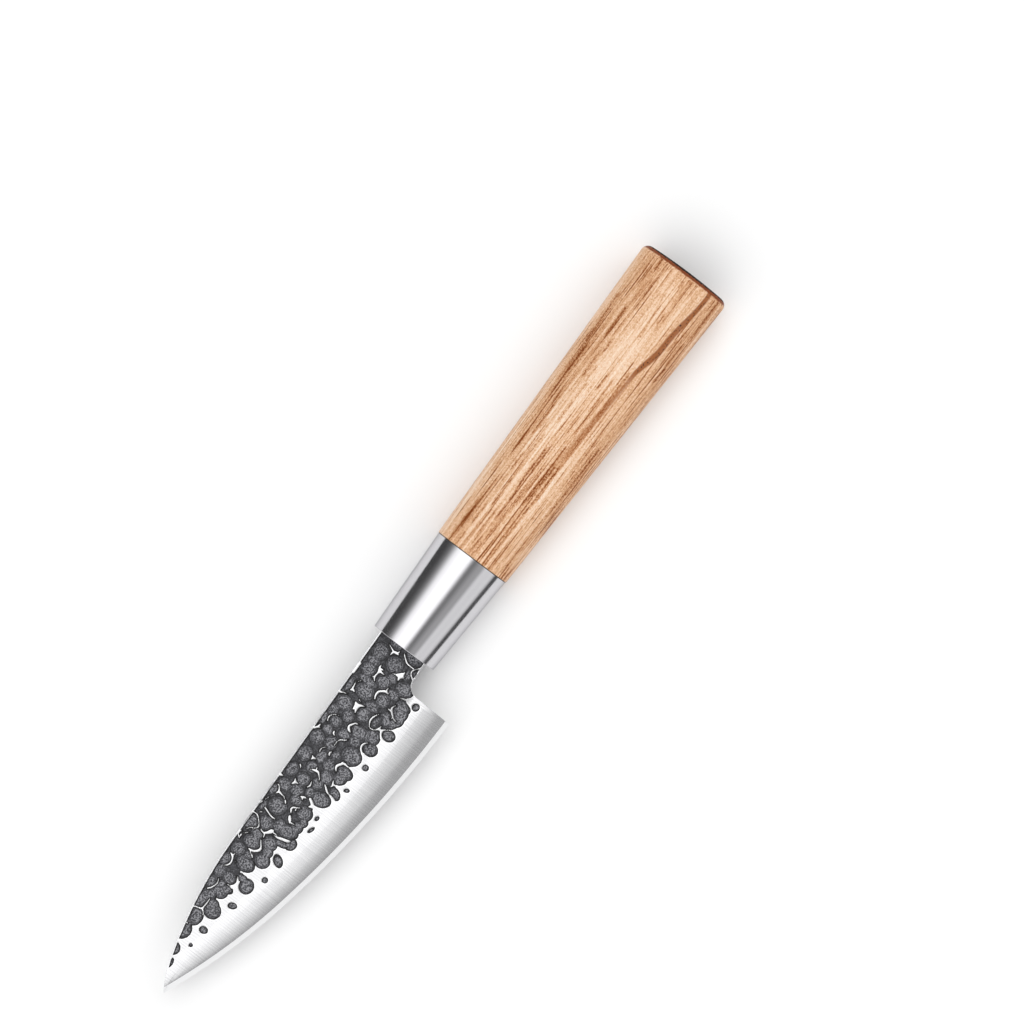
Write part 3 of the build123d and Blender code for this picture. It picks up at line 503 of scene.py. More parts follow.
def hammered_ground_stainless():
    """Black heat scale on the hammered steel, pebbled, with a painted grey sheen in each mark's middle
    and painted near-black shade at its rim and in the creases between marks. The lands and the ground band
    are bare bright steel. The wheel leaves fine upright lines on the band, and the stone leaves the honed
    bevel duller, so that it gathers more light."""
    material, tree, output = new_material("hammered_heat_darkened_and_ground_stainless_steel")
    place = add(tree, "TexCoord").outputs["Object"]
    inset_value, middle_value, rise_value = [
        add(tree, "Attribute", attribute_name=label).outputs["Fac"]
        for label in ("darkened_inset", "mark_middle", "edge_height")
    ]
    # The scale's border wanders by a few hundredths of a millimetre, in bays of three quarters
    creep = add(tree, "TexNoise", {"Vector": place, "Scale": per_metre(0.769), "Detail": 2}).outputs["Fac"]
    border = add(tree, "Math", {0: creep, 1: 0.14, 2: inset_value}, operation="MULTIPLY_ADD").outputs[0]
    dark = add(tree, "MapRange", {"Value": border, "From Min": 0.015, "From Max": 0.065},
               interpolation_type="SMOOTHSTEP").outputs["Result"]
    # Pebbles of a third of a millimetre, and broken rings round each mark's middle where the scale crept
    pebbles = add(tree, "TexNoise", {"Vector": place, "Scale": per_metre(0.345), "Detail": 1,
                  "Roughness": 0.6})
    swirl = add(tree, "TexNoise", {"Vector": place, "Scale": per_metre(1.429), "Detail": 1}).outputs["Fac"]
    turns = add(tree, "Math", {0: swirl, 1: 9.0}, operation="MULTIPLY").outputs[0]
    turns = add(tree, "Math", {0: middle_value, 1: 24.0, 2: turns}, operation="MULTIPLY_ADD").outputs[0]
    rings = add(tree, "Math", {0: turns}, operation="SINE").outputs[0]
    grains = add(tree, "MapRange", {"Value": pebbles.outputs["Fac"], "From Min": 0.22, "From Max": 0.78},
                 clamp=False).outputs["Result"]
    ragged = add(tree, "Math", {0: swirl, 1: 0.5, 2: middle_value}, operation="MULTIPLY_ADD").outputs[0]
    in_middle = add(tree, "MapRange", {"Value": ragged, "From Min": 0.3, "From Max": 0.76},
                    interpolation_type="SMOOTHSTEP").outputs["Result"]
    grains = add(tree, "Math", {0: rings, 1: 0.09, 2: grains}, operation="MULTIPLY_ADD").outputs[0]
    # The mottle is strong in a mark's middle and calm elsewhere, and the middle is lifted to grey, a
    # painted sheen standing in for the light overhead in the bowl
    coarse = add(tree, "MapRange", {"Value": in_middle, "To Min": 0.4, "To Max": 0.95}).outputs["Result"]
    mottle = add(tree, "Mix", {0: coarse, 2: 0.5, 3: grains}).outputs[0]
    mottle = add(tree, "Math", {0: creep, 1: 0.3, 2: mottle}, operation="MULTIPLY_ADD").outputs[0]
    mottle_and_sheen = add(tree, "Math", {0: in_middle, 1: 0.19, 2: mottle}, operation="MULTIPLY_ADD").outputs[0]
    scale_ramp = add(tree, "ValToRGB", {"Fac": mottle_and_sheen})
    scale_ramp.color_ramp.elements[0].position = 0.34
    scale_ramp.color_ramp.elements[0].color = linear("#1e1e20")
    scale_ramp.color_ramp.elements[1].position = 1.0
    scale_ramp.color_ramp.elements[1].color = linear("#8e8e92")
    scale_ramp.color_ramp.elements.new(0.62).color = linear("#3a3a3d")
    scale_ramp.color_ramp.elements.new(0.82).color = linear("#5a5a5e")
    # Painted shade: the scale is darkened along its border and in the crease where a mark meets the next,
    # where the walls of the marks would fall into shade
    border = add(tree, "Math", {0: creep, 1: 0.5, 2: inset_value}, operation="MULTIPLY_ADD").outputs[0]
    rim_shade = add(tree, "MapRange", {"Value": border, "From Min": 0.36, "From Max": 0.66, "To Min": 0.15,
                    "To Max": 1.0}, interpolation_type="SMOOTHSTEP").outputs["Result"]
    crease_shade = add(tree, "MapRange", {"Value": middle_value, "From Min": 0.01, "From Max": 0.14,
                 "To Min": 0.4, "To Max": 1.0}, interpolation_type="SMOOTHSTEP").outputs["Result"]
    beside = add(tree, "Math", {0: middle_value, 1: 0.005}, operation="LESS_THAN").outputs[0]
    crease_shade = add(tree, "Math", {0: crease_shade, 1: beside}, operation="MAXIMUM").outputs[0]
    shade = add(tree, "Math", {0: rim_shade, 1: crease_shade}, operation="MULTIPLY").outputs[0]
    shaded_scale_colour = add(tree, "Mix", {0: 1.0, 6: scale_ramp.outputs["Color"], 7: shade}, data_type="RGBA",
                       blend_type="MULTIPLY").outputs[2]
    # Lines of the wheel: an even comb of two thirds of a millimetre with uneven ones of a third between,
    # coarser than the real scratches, which wouldn't show. A wave's pitch is pi over ten times its scale.
    lines_place = add(tree, "Mapping", {"Vector": place,
                      "Scale": per_metre(0.294, 11.1, 11.1)}).outputs["Vector"]
    lines = add(tree, "TexNoise", {"Vector": lines_place, "Scale": 1.0, "Detail": 2, "Roughness": 0.6})
    comb = add(tree, "TexWave", {"Vector": place, "Scale": math.pi / 10 * per_metre(0.628),
               "Distortion": 1.5, "Detail": 1, "Detail Scale": 0.6}, bands_direction="X").outputs["Fac"]
    lines = add(tree, "Math", {0: comb, 1: 0.2, 2: lines.outputs["Fac"]},
                operation="MULTIPLY_ADD").outputs[0]
    steel_ramp = add(tree, "ValToRGB", {"Fac": lines})
    steel_ramp.color_ramp.elements[0].position = 0.3
    steel_ramp.color_ramp.elements[0].color = linear("#e0e0e2")
    steel_ramp.color_ramp.elements[1].position = 0.95
    steel_ramp.color_ramp.elements[1].color = linear("#f1f1f2")
    above_bevel = add(tree, "MapRange", {"Value": rise_value, "From Min": bevel_width - shoulder_half,
                      "From Max": bevel_width + shoulder_half}).outputs["Result"]
    steel = add(tree, "Mix", {0: above_bevel, 6: linear("#f2f2f3"), 7: steel_ramp.outputs["Color"]},
                data_type="RGBA").outputs[2]
    colour = add(tree, "Mix", {0: dark, 6: steel, 7: shaded_scale_colour}, data_type="RGBA")
    steel_roughness = add(tree, "MapRange", {"Value": above_bevel, "To Min": 0.55,
                          "To Max": 0.24}).outputs["Result"]
    roughness = add(tree, "Mix", {0: dark, 2: steel_roughness, 3: 0.42}).outputs[0]
    metal = add(tree, "Math", {0: 1.0, 1: dark}, operation="SUBTRACT").outputs[0]
    pebble_height = add(tree, "Math", {0: mottle, 1: dark}, operation="MULTIPLY").outputs[0]
    wheel_height = add(tree, "Math", {0: lines, 1: above_bevel}, operation="MULTIPLY").outputs[0]
    line_height = add(tree, "Math", {0: wheel_height, 1: 0.03, 2: pebble_height},
                      operation="MULTIPLY_ADD").outputs[0]
    bump = add(tree, "Bump", {"Height": line_height, "Strength": 0.6,
               "Distance": 0.05 * millimetre}).outputs["Normal"]
    shader = add(tree, "BsdfPrincipled", {"Base Color": colour.outputs[2], "Roughness": roughness,
                 "Metallic": metal, "Normal": bump, "Specular IOR Level": 0.25})
    tree.links.new(shader.outputs["BSDF"], output.inputs["Surface"])
    return material


blade = tube_mesh("hammered_blade", blade_rings, [
    ("darkened_inset", np.concatenate([inset, inset[:, ::-1]], 1)),
    ("mark_middle", np.concatenate([middle, middle[:, ::-1]], 1)),
    ("edge_height", np.concatenate([rise, rise[:, ::-1]], 1)),
], sharp_degrees=35)
blade.data.materials.append(hammered_ground_stainless())
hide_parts("blade")
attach(blade, "root")

# Ferrule: a stainless steel cup, drawn to a taper, turned and polished on a spindle, with a slot for the
# blade in its front face. Polish shows the studio as long stripes, and the spindle leaves faint rings.
ferrule_length = (ferrule_high.x - ferrule_low.x) / millimetre
ferrule_back = (ferrule_high.y - ferrule_low.y) / 2 / millimetre
ferrule_front = ferrule_back - 1.05
ferrule_side = (ferrule_high.z - ferrule_low.z) / 2 / millimetre
ferrule_wall = 0.8
ferrule_face = 1.0
front_round = 0.15
slot_play = 0.1
slot_half_height = (spine_height - neck_underside) / 2 + slot_play
slot_half_width = neck_half + slot_play


def oval_rings(stations, half_heights, half_sides, count=256, middle=0.0, squareness=2.0):
    """Ovals across the knife's axis, one for each station: height times cosine along y and side times sine
    along z. Above 2, a squareness raises each cosine and sine to 2 over it, which fills the corners."""
    angle = np.linspace(0, 2 * math.pi, count, endpoint=False)
    power = (2.0 / np.broadcast_to(squareness, np.shape(stations)))[:, None]
    up = np.sign(np.cos(angle)) * np.abs(np.cos(angle)) ** power
    out = np.sign(np.sin(angle)) * np.abs(np.sin(angle)) ** power
    y = np.broadcast_to(middle, np.shape(stations))[:, None] + np.asarray(half_heights)[:, None] * up
    z = np.asarray(half_sides)[:, None] * out
    return np.stack([np.broadcast_to(np.asarray(stations)[:, None], y.shape), y, z], -1)


def ferrule_half(station):
    """The ferrule's half-height at a station, along its even taper."""
    return ferrule_front + (ferrule_back - ferrule_front) * np.asarray(station) / ferrule_length


skin_count, hollow_count = 40, 12
turn = np.linspace(math.pi / 2, 0, 9)
skin_x = np.concatenate([
    front_round - front_round * np.sin(turn),
    np.linspace(front_round, ferrule_length, skin_count)[1:],
])
skin_drop = np.concatenate([front_round - front_round * np.cos(turn), np.zeros(skin_count - 1)])
skin = oval_rings(skin_x, ferrule_half(skin_x) - skin_drop, ferrule_side - skin_drop)
hollow_x = np.linspace(ferrule_length, ferrule_face, hollow_count)
hollow_side = np.full(hollow_count, ferrule_side - ferrule_wall)
hollow = oval_rings(hollow_x, ferrule_half(hollow_x) - ferrule_wall, hollow_side)
slot = oval_rings(np.array([ferrule_face, 0.0]), np.full(2, slot_half_height), np.full(2, slot_half_width),
                  middle=neck_middle, squareness=12.0)
ferrule_rings = np.concatenate([skin, hollow, slot, skin[:1]])


def polished_stainless():
    """A mirror dulled by spindle rings, drawn coarser than the real ones so that they show, and by wiped
    smudges of the width of a fingertip."""
    material, tree, output = new_material("spindle_polished_stainless_steel")
    place = add(tree, "TexCoord").outputs["Object"]
    ring_place = add(tree, "Mapping", {"Vector": place,
                     "Scale": per_metre(0.385, 16.7, 16.7)}).outputs["Vector"]
    rings = add(tree, "TexNoise", {"Vector": ring_place, "Scale": 1.0, "Detail": 2}).outputs["Fac"]
    smudge = add(tree, "TexNoise", {"Vector": place, "Scale": per_metre(7.69), "Detail": 3}).outputs["Fac"]
    roughness = add(tree, "MapRange", {"Value": smudge, "To Min": 0.10, "To Max": 0.19}).outputs["Result"]
    bump = add(tree, "Bump", {"Height": rings, "Strength": 0.2,
               "Distance": 0.01 * millimetre}).outputs["Normal"]
    shader = add(tree, "BsdfPrincipled", {"Base Color": linear("#cfced1"), "Roughness": roughness,
                 "Metallic": 1.0, "Specular Tint": (0.62, 0.62, 0.63, 1), "Normal": bump})
    tree.links.new(shader.outputs["BSDF"], output.inputs["Surface"])
    return material


ferrule = tube_mesh("ferrule_cup", ferrule_rings, close_ends=False, sharp_degrees=40)
ferrule.data.materials.append(polished_stainless())
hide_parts("ferrule")
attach(ferrule, "root")

# Handle: one piece of warm brown hardwood, turned oval, widening to a crowned butt, and oiled. A spigot at
# its front fills the ferrule, and a bore takes the tang. The grain runs along it, with fine open pores and
# one dark streak of heartwood.
handle_low, handle_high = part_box("handle")
handle_end = (handle_high.x - ferrule_low.x) / millimetre
seam = 0.12
handle_start = ferrule_length + seam
handle_front = 9.6
handle_back = 11.6
handle_side = (handle_high.z - handle_low.z) / 2 / millimetre
butt_round = 1.8
butt_crown = 0.45
front_break = 0.15
spigot_start = (handle_low.x - ferrule_low.x) / millimetre
bore_end = tang_length + 2.0
bore_half_height = tang_half_heights[0] + 1.0
bore_half_width = neck_half + 1.0


def grip_half(station):
    """The grip's half-height at a station, along its even taper."""
    share = (np.asarray(station) - handle_start) / (handle_end - handle_start)
    return handle_front + (handle_back - handle_front) * share


round_count, grip_count, spigot_count, corner_count = 384, 130, 6, 14
turn = np.linspace(0, math.pi / 2, corner_count)[1:]
crown_share = 0.75
corner_x = handle_end - butt_crown * crown_share - butt_round
grip_x = np.concatenate([
    handle_start + front_break * np.arange(3),
    np.linspace(handle_start + front_break * 3, corner_x, grip_count),
])
grip_drop = np.concatenate([[front_break], np.zeros(grip_count + 2)])
corner_drop = butt_round - butt_round * np.cos(turn)
corner_stations = corner_x + butt_round * np.sin(turn)
# The skin closes at a tiny oval in the butt's middle and at another in the bore's end
pole = 0.002
inward = np.linspace(1, pole, corner_count)[1:]
butt_height = grip_half(corner_x) - butt_round
butt_stations = corner_stations[-1] + (handle_end - corner_stations[-1]) * (1 - inward**2)
bore_pole = 0.01
bore = oval_rings([bore_end, bore_end, spigot_start], [bore_pole, bore_half_height, bore_half_height],
                  [bore_pole, bore_half_width, bore_half_width], round_count, neck_middle, squareness=4.0)
spigot_x = np.linspace(spigot_start, handle_start, spigot_count)
spigot = oval_rings(spigot_x, ferrule_half(spigot_x) - ferrule_wall - seam,
                    np.full(spigot_count, ferrule_side - ferrule_wall - seam), round_count)
grip = oval_rings(grip_x, grip_half(grip_x) - grip_drop, handle_side - grip_drop, round_count)
corner = oval_rings(corner_stations, grip_half(corner_x) - corner_drop, handle_side - corner_drop,
                    round_count)
butt = oval_rings(butt_stations, butt_height * inward, (handle_side - butt_round) * inward, round_count)
handle_rings = np.concatenate([bore, spigot, grip, corner, butt])
from_end = handle_end - handle_rings[..., 0]
outside = (np.arange(len(handle_rings)) >= len(bore) + len(spigot))[:, None]
# How near the butt's end each place is, and how near the seam, where the wood's edge is darkened as
# painted shade of the hairline gap
end_reach, seam_shade_reach = 1.5, 0.12
butt_nearness = np.where(outside, np.clip(1 - from_end / end_reach, 0, 1), 0)
from_seam = handle_rings[..., 0] - handle_start
seam_shade = np.where(outside, np.clip(1.25 - from_seam / seam_shade_reach, 0, 1), 0)

# The wood's broad figure as it shows on the left face, in pixels of the photograph: knots toward the butt
# and down from the axis, each with a half-width and a depth of colour, negative where the wood is paler.
# The layers run through the thickness on a slant, so that the right face shows them shifted. The broad
# pale layer above the middle is paler wood with the oil's sheen painted in.
figure_and_sheen_layers = [
    [(180, -35, 3, 0), (205, -34.5, 4, 0.5), (231, -32.5, 4.5, 0.7), (273, -35, 4.5, 0.5),
     (300, -36, 5, 0.6), (345, -37, 4.5, 0.75), (390, -40, 4, 0.5), (425, -41.5, 4, 0.5),
     (465, -44, 3.5, 0.5)],
    [(100, 6.5, 5, 0.5), (140, 6.5, 5.5, 0.55), (175, 9, 4, 0.35), (210, 9.5, 4, 0.6), (235, 12, 4, 0.75),
     (262, 15, 4, 0.9), (300, 15, 4.5, 0.9), (330, 17, 4, 0.5), (360, 18, 4, 0.2)],
    [(180, 35, 5, 0), (230, 37, 6, 0.35), (300, 41, 6, 0.5), (360, 41, 5, 0.65), (400, 41, 5, 0.6),
     (460, 42.5, 5, 0.6)],
    [(100, -29, 5, 0.35), (150, -29, 5, 0.4), (185, -28, 4, 0.1)],
    [(100, 38, 5, 0.45), (170, 36, 4, 0.3), (200, 37, 4, 0)],
    [(112, -13, 2, 0.2), (160, -13, 2, 0.3), (200, -15, 2, 0)],
    [(395, -27, 5, 0.25), (430, -25, 6, 0.45), (458, -23, 6, 0.4)],
    [(370, 3, 4, 0), (420, 6, 5, 0.3), (460, 8, 6, 0.35)],
    [(340, 30, 5, 0.2), (380, 34, 3, 0.35), (430, 37, 3, 0.2)],
    [(112, -40, 2.5, -0.8), (160, -40, 2.5, -0.8), (240, -41, 2.5, -0.6), (320, -44, 2.5, -0.3),
     (400, -47, 3, -0.2)],
    # Paler wood with a painted sheen: the broad pale layer where the light overhead shines along the grip
    [(120, -20, 4, -0.2), (165, -17, 6, -0.5), (210, -17, 8, -0.6), (260, -15, 10, -0.7),
     (300, -12, 12, -0.8), (340, -7, 13, -0.8), (375, -4, 12, -0.7), (410, -8, 12, -0.4),
     (450, -10, 12, -0.1)],
    [(170, -2, 3, -0.3), (210, 1, 4, -0.8), (250, 2, 5, -0.6), (290, 3, 4, -0.3)],
    [(130, 18, 3, -0.3), (165, 19, 3, -0.7), (220, 20, 3.5, -0.8), (270, 22, 3, -0.5), (330, 27, 3, -0.2)],
    [(120, 29, 2, -0.4), (170, 30, 2, -0.5), (215, 33, 2, -0.2)],
    [(385, 13, 4, -0.2), (420, 17, 4, -0.45), (460, 19, 4, -0.3)],
]
heart_streak = [
    (225, 11, 3, 0), (262, 13.5, 3.2, 0.2), (290, 15, 3, 0.35), (312, 17, 2.3, 0.5), (345, 18.6, 1.8, 0.75),
    (357, 19, 2.2, 1), (368, 21.2, 2.9, 1), (380, 24.3, 3.1, 1), (391, 25.7, 3, 1), (408, 26.2, 2.9, 1),
    (425, 27.9, 2.6, 1), (441, 30.2, 2.4, 1), (458, 31.3, 2.3, 1), (470, 31, 2.2, 1),
]
# The strongest pore lines: where each begins and ends, along and down, and its depth
pore_dashes = [
    (114, -21, 130, -21, 0.4), (141, -21, 165, -20.6, 0.6), (206, -22.3, 228, -22.3, 0.9),
    (167, -16, 210, -15.6, 0.8), (215, -17, 255, -16.5, 0.9), (222, -10.9, 261, -10.6, 0.6),
    (180, -4.1, 195, -4.4, 1), (195, -5.6, 208, -6.6, 1), (208, -6.6, 245, -6.5, 1),
    (212, -3.8, 251, -3.6, 0.8), (159, -5, 180, -4, 0.6), (114, -1.2, 204, 0.4, 0.5),
    (115, -6.2, 137, -4.8, 0.6), (135, -10, 171, -9.7, 0.5), (187, 7.8, 255, 8.5, 0.8),
    (192, 10.6, 235, 11.2, 0.7), (114, 14.4, 177, 15, 0.6), (177, 15, 237, 15.6, 0.8),
    (120, 32.5, 187, 33.8, 0.6), (187, 34.4, 225, 35.9, 0.7), (225, 35.9, 275, 36.3, 0.5),
    (272, -13.1, 300, -13.4, 0.8), (300, -13.5, 321, -13.5, 0.7), (247, -26.6, 286, -26.5, 0.7),
    (256, -23.8, 270, -23.5, 0.7), (322, -16.2, 340, -16, 0.7), (322, -21.2, 355, -22.5, 0.6),
    (354, -18.8, 371, -18.8, 0.6), (372, -27.3, 405, -28.1, 0.7), (409, -18.8, 441, -20.6, 0.6),
    (451, -27.2, 467, -27.7, 0.8), (390, -8.8, 437, -9.4, 0.5), (387, 1.9, 439, -4.4, 0.7),
    (409, 7.5, 420, 6.9, 0.6), (447, -2.5, 467, -3.1, 0.5), (449, 2.5, 468, 1.3, 0.9),
    (459, -15.6, 468, -15.6, 0.6), (315, -36.3, 354, -36.3, 0.8), (354, -40, 412, -41.9, 0.6),
    (300, 5.6, 339, 5.6, 0.6), (313, -8.1, 327, -8.5, 0.5), (322, -1.9, 340, -1.9, 0.8),
    (300, 15, 354, 15, 0.7), (360, 38.8, 380, 40, 0.7), (380, 38.8, 409, 40, 0.6),
    (432, 42.5, 465, 42.5, 0.6), (396, 31.9, 409, 32.3, 0.6),
]
pore_half_width, pore_fade = 1.15, 4
layer_slant = 0.6
height_share = handle_rings[..., 1] / grip_half(handle_rings[..., 0])
face_height = handle_side * np.sqrt(np.maximum(1 - height_share**2, 0))
station = handle_rings[..., 0] / photo_pixel
level = (layer_slant * (face_height - handle_rings[..., 2]) - handle_rings[..., 1]) / photo_pixel


def layer_reach(knots):
    """How far each place is from a layer's line, in half-widths, and the depth of colour there: both are
    read between the knots along the handle."""
    along, down, half_width, depth = np.array(knots, float).T
    reach = np.abs(level - np.interp(station, along, down)) / np.interp(station, along, half_width)
    return reach, np.interp(station, along, depth)


figure_and_sheen = np.zeros(station.shape)
for knots in figure_and_sheen_layers:
    reach, depth = layer_reach(knots)
    figure_and_sheen += depth * np.exp(-(reach**2))
# The streak is full up to 0.8 half-widths from its line, and gone at 1.2
reach, depth = layer_reach(heart_streak)
streak = depth * np.clip((1.2 - reach) / 0.4, 0, 1)
pore_lines = np.zeros(station.shape)
for begin, begin_down, finish, finish_down, depth in pore_dashes:
    away = (level - np.interp(station, [begin, finish], [begin_down, finish_down])) / pore_half_width
    fade = np.clip(np.minimum(station - begin, finish - station) / pore_fade + 0.5, 0, 1)
    pore_lines = np.maximum(pore_lines, depth * fade * np.exp(-(away**2)))


def oiled_hardwood():
    """Warm orange-brown wood in broad bands, with fine fibres, thin dark pore lines and one near-solid dark
    streak. A broad pale band along the grip is paler wood with the oil's sheen painted in, with near-white
    specks of painted glints. The turned butt shows end grain, which soaks up the oil and goes dark brown,
    and the turn of its corner is painted near black as shade. The oil leaves a soft sheen."""
    material, tree, output = new_material("turned_and_oiled_hardwood")
    place = add(tree, "TexCoord").outputs["Object"]
    figure_and_sheen_value, streak_value, end_value, seam_shade_value, line_value = [
        add(tree, "Attribute", attribute_name=label).outputs["Fac"]
        for label in ("wood_figure_and_sheen", "heart_streak", "butt_nearness", "seam_shade", "pore_lines")
    ]
    # How long, high and thick each feature of the grain is, in millimetres. The real fibres, flecks and
    # pores are finer, and these are as coarse as they need to be to show.
    grain_sizes = {
        "bands": (71.4, 1.92, 3.33),
        "fibres": (33.3, 0.667, 0.667),
        "flecks": (0.263, 0.192, 0.192),
        "pores": (16.7, 0.5, 0.5),
        "coarse pores": (23.8, 0.588, 0.588),
        "glints": (0.526, 0.278, 0.278),
    }
    grain = {
        feature: add(tree, "Mapping", {"Vector": place, "Scale": per_metre(*sizes)}).outputs["Vector"]
        for feature, sizes in grain_sizes.items()
    }
    bands = add(tree, "TexNoise", {"Vector": grain["bands"], "Scale": 1.0, "Detail": 3, "Roughness": 0.6,
                "Distortion": 0.3}).outputs["Fac"]
    fibres = add(tree, "TexNoise", {"Vector": grain["fibres"], "Scale": 1.0, "Detail": 1,
                 "Roughness": 0.9}).outputs["Fac"]
    fleck = add(tree, "TexVoronoi", {"Vector": grain["flecks"], "Scale": 1.0}).outputs["Color"]
    pore_field = add(tree, "TexNoise", {"Vector": grain["pores"], "Scale": 1.0, "Detail": 1}).outputs["Fac"]
    pores = add(tree, "MapRange", {"Value": pore_field, "From Min": 0.57,
                "From Max": 0.74}).outputs["Result"]
    coarse_field = add(tree, "TexNoise", {"Vector": grain["coarse pores"], "Scale": 1.0, "Detail": 2})
    coarse_pores = add(tree, "MapRange", {"Value": coarse_field.outputs["Fac"], "From Min": 0.61,
                       "From Max": 0.76}).outputs["Result"]
    pores = add(tree, "Math", {0: pores, 1: coarse_pores}, operation="MAXIMUM").outputs[0]
    # The measured pore lines, broken up by the flecks
    broken = add(tree, "MapRange", {"Value": fleck, "From Min": 0.2, "From Max": 0.8, "To Min": 1.1,
                 "To Max": 0.8}).outputs["Result"]
    dashes = add(tree, "Math", {0: line_value, 1: broken}, operation="MULTIPLY").outputs[0]
    pores = add(tree, "Math", {0: pores, 1: dashes}, operation="MAXIMUM", use_clamp=True).outputs[0]
    # All of these and the broad figure with its painted sheen add up to one tone, from dark to light
    figure_and_sheen = add(tree, "Math", {0: bands, 1: 0.2, 2: 0.345}, operation="MULTIPLY_ADD").outputs[0]
    figure_and_sheen = add(tree, "Math", {0: figure_and_sheen_value, 1: -0.21, 2: figure_and_sheen}, operation="MULTIPLY_ADD").outputs[0]
    figure_and_sheen = add(tree, "Math", {0: fibres, 1: 0.68, 2: figure_and_sheen}, operation="MULTIPLY_ADD").outputs[0]
    figure_and_sheen = add(tree, "Math", {0: fleck, 1: 0.4, 2: figure_and_sheen}, operation="MULTIPLY_ADD").outputs[0]
    figure_and_sheen = add(tree, "Math", {0: pores, 1: -0.48, 2: figure_and_sheen}, operation="MULTIPLY_ADD").outputs[0]
    tone = add(tree, "MapRange", {"Value": figure_and_sheen, "From Min": 0.53, "From Max": 1.33}).outputs["Result"]
    ramp = add(tree, "ValToRGB", {"Fac": tone})
    ramp.color_ramp.elements[0].color = linear("#7c3c12")
    ramp.color_ramp.elements[1].color = linear("#f2dcc6")
    wood_tones = [(0.12, "#9c6239"), (0.28, "#be875e"), (0.45, "#d3a57d"), (0.64, "#e5be9c")]
    for position, hex_colour in wood_tones:
        ramp.color_ramp.elements.new(position).color = linear(hex_colour)
    # Painted glints: near-white specks on the palest wood, away from the pores, in the painted sheen
    glint_and_resin_field = add(tree, "TexNoise", {"Vector": grain["glints"], "Scale": 1.0, "Detail": 1}).outputs["Fac"]
    glints = add(tree, "Math", {0: figure_and_sheen_value, 1: -0.16, 2: glint_and_resin_field},
               operation="MULTIPLY_ADD").outputs[0]
    glints = add(tree, "Math", {0: pores, 1: -0.3, 2: glints}, operation="MULTIPLY_ADD").outputs[0]
    glints = add(tree, "MapRange", {"Value": glints, "From Min": 0.8, "From Max": 0.85,
               "To Max": 0.8}).outputs["Result"]
    glinted = add(tree, "Mix", {0: glints, 6: ramp.outputs["Color"], 7: linear("#efecea")}, data_type="RGBA")
    streak_share = add(tree, "Math", {0: streak_value, 1: 0.92}, operation="MULTIPLY").outputs[0]
    streaked = add(tree, "Mix", {0: streak_share, 6: glinted.outputs[2], 7: linear("#935226")},
                   data_type="RGBA")
    # Specks of dark resin in the dark streak
    speck_field = add(tree, "Math", {0: glint_and_resin_field, 1: streak_value}, operation="MULTIPLY").outputs[0]
    specks = add(tree, "MapRange", {"Value": speck_field, "From Min": 0.6,
                 "From Max": 0.64}).outputs["Result"]
    streaked = add(tree, "Mix", {0: specks, 6: streaked.outputs[2], 7: linear("#26211f")}, data_type="RGBA")
    # The corner of the butt: reddish where the fibres end, near black on its turn as painted shade, and
    # dark brown end grain on the face, with slanting growth bands a millimetre thick and pores as dots
    uneven_end = add(tree, "Math", {0: fibres, 1: 0.5, 2: end_value}, operation="MULTIPLY_ADD").outputs[0]
    rim_share = add(tree, "MapRange", {"Value": uneven_end, "From Min": 0.24,
                    "From Max": 0.46}).outputs["Result"]
    near_end = add(tree, "MapRange", {"Value": end_value, "From Max": 0.1}).outputs["Result"]
    rim_share = add(tree, "Math", {0: rim_share, 1: near_end}, operation="MULTIPLY").outputs[0]
    rimmed = add(tree, "Mix", {0: rim_share, 6: streaked.outputs[2], 7: linear("#7d3b12")},
                 data_type="RGBA")
    turn_shade_and_end_grain = add(tree, "MapRange", {"Value": uneven_end, "From Min": 0.74,
                    "From Max": 0.86}).outputs["Result"]
    ended = add(tree, "Mix", {0: turn_shade_and_end_grain, 6: rimmed.outputs[2], 7: linear("#0e0c0c")}, data_type="RGBA")
    ring_place = add(tree, "Mapping", {"Vector": place, "Rotation": (0.6, 0, 0),
                     "Scale": per_metre(5, 5.88, 1)})
    rings = add(tree, "TexNoise", {"Vector": ring_place.outputs["Vector"], "Scale": 1.0, "Detail": 2,
                "Distortion": 0.4}).outputs["Fac"]
    ring_grain = add(tree, "Math", {0: fleck, 1: 0.4, 2: rings}, operation="MULTIPLY_ADD").outputs[0]
    ring_tone = add(tree, "MapRange", {"Value": ring_grain, "From Min": 0.4,
                    "From Max": 1.05}).outputs["Result"]
    ring_ramp = add(tree, "ValToRGB", {"Fac": ring_tone})
    ring_ramp.color_ramp.elements[0].color = linear("#2a1a0e")
    ring_ramp.color_ramp.elements[1].color = linear("#5c3d26")
    face_share = add(tree, "MapRange", {"Value": end_value, "From Min": 0.74,
                     "From Max": 0.88}).outputs["Result"]
    ended = add(tree, "Mix", {0: face_share, 6: ended.outputs[2], 7: ring_ramp.outputs["Color"]},
                data_type="RGBA")
    # Painted shade: the wood's edge is darkened at the seam, where the hairline gap to the ferrule lies in
    # shade
    seam_edge = add(tree, "Mix", {0: seam_shade_value, 6: ended.outputs[2], 7: linear("#33201a")},
                    data_type="RGBA")
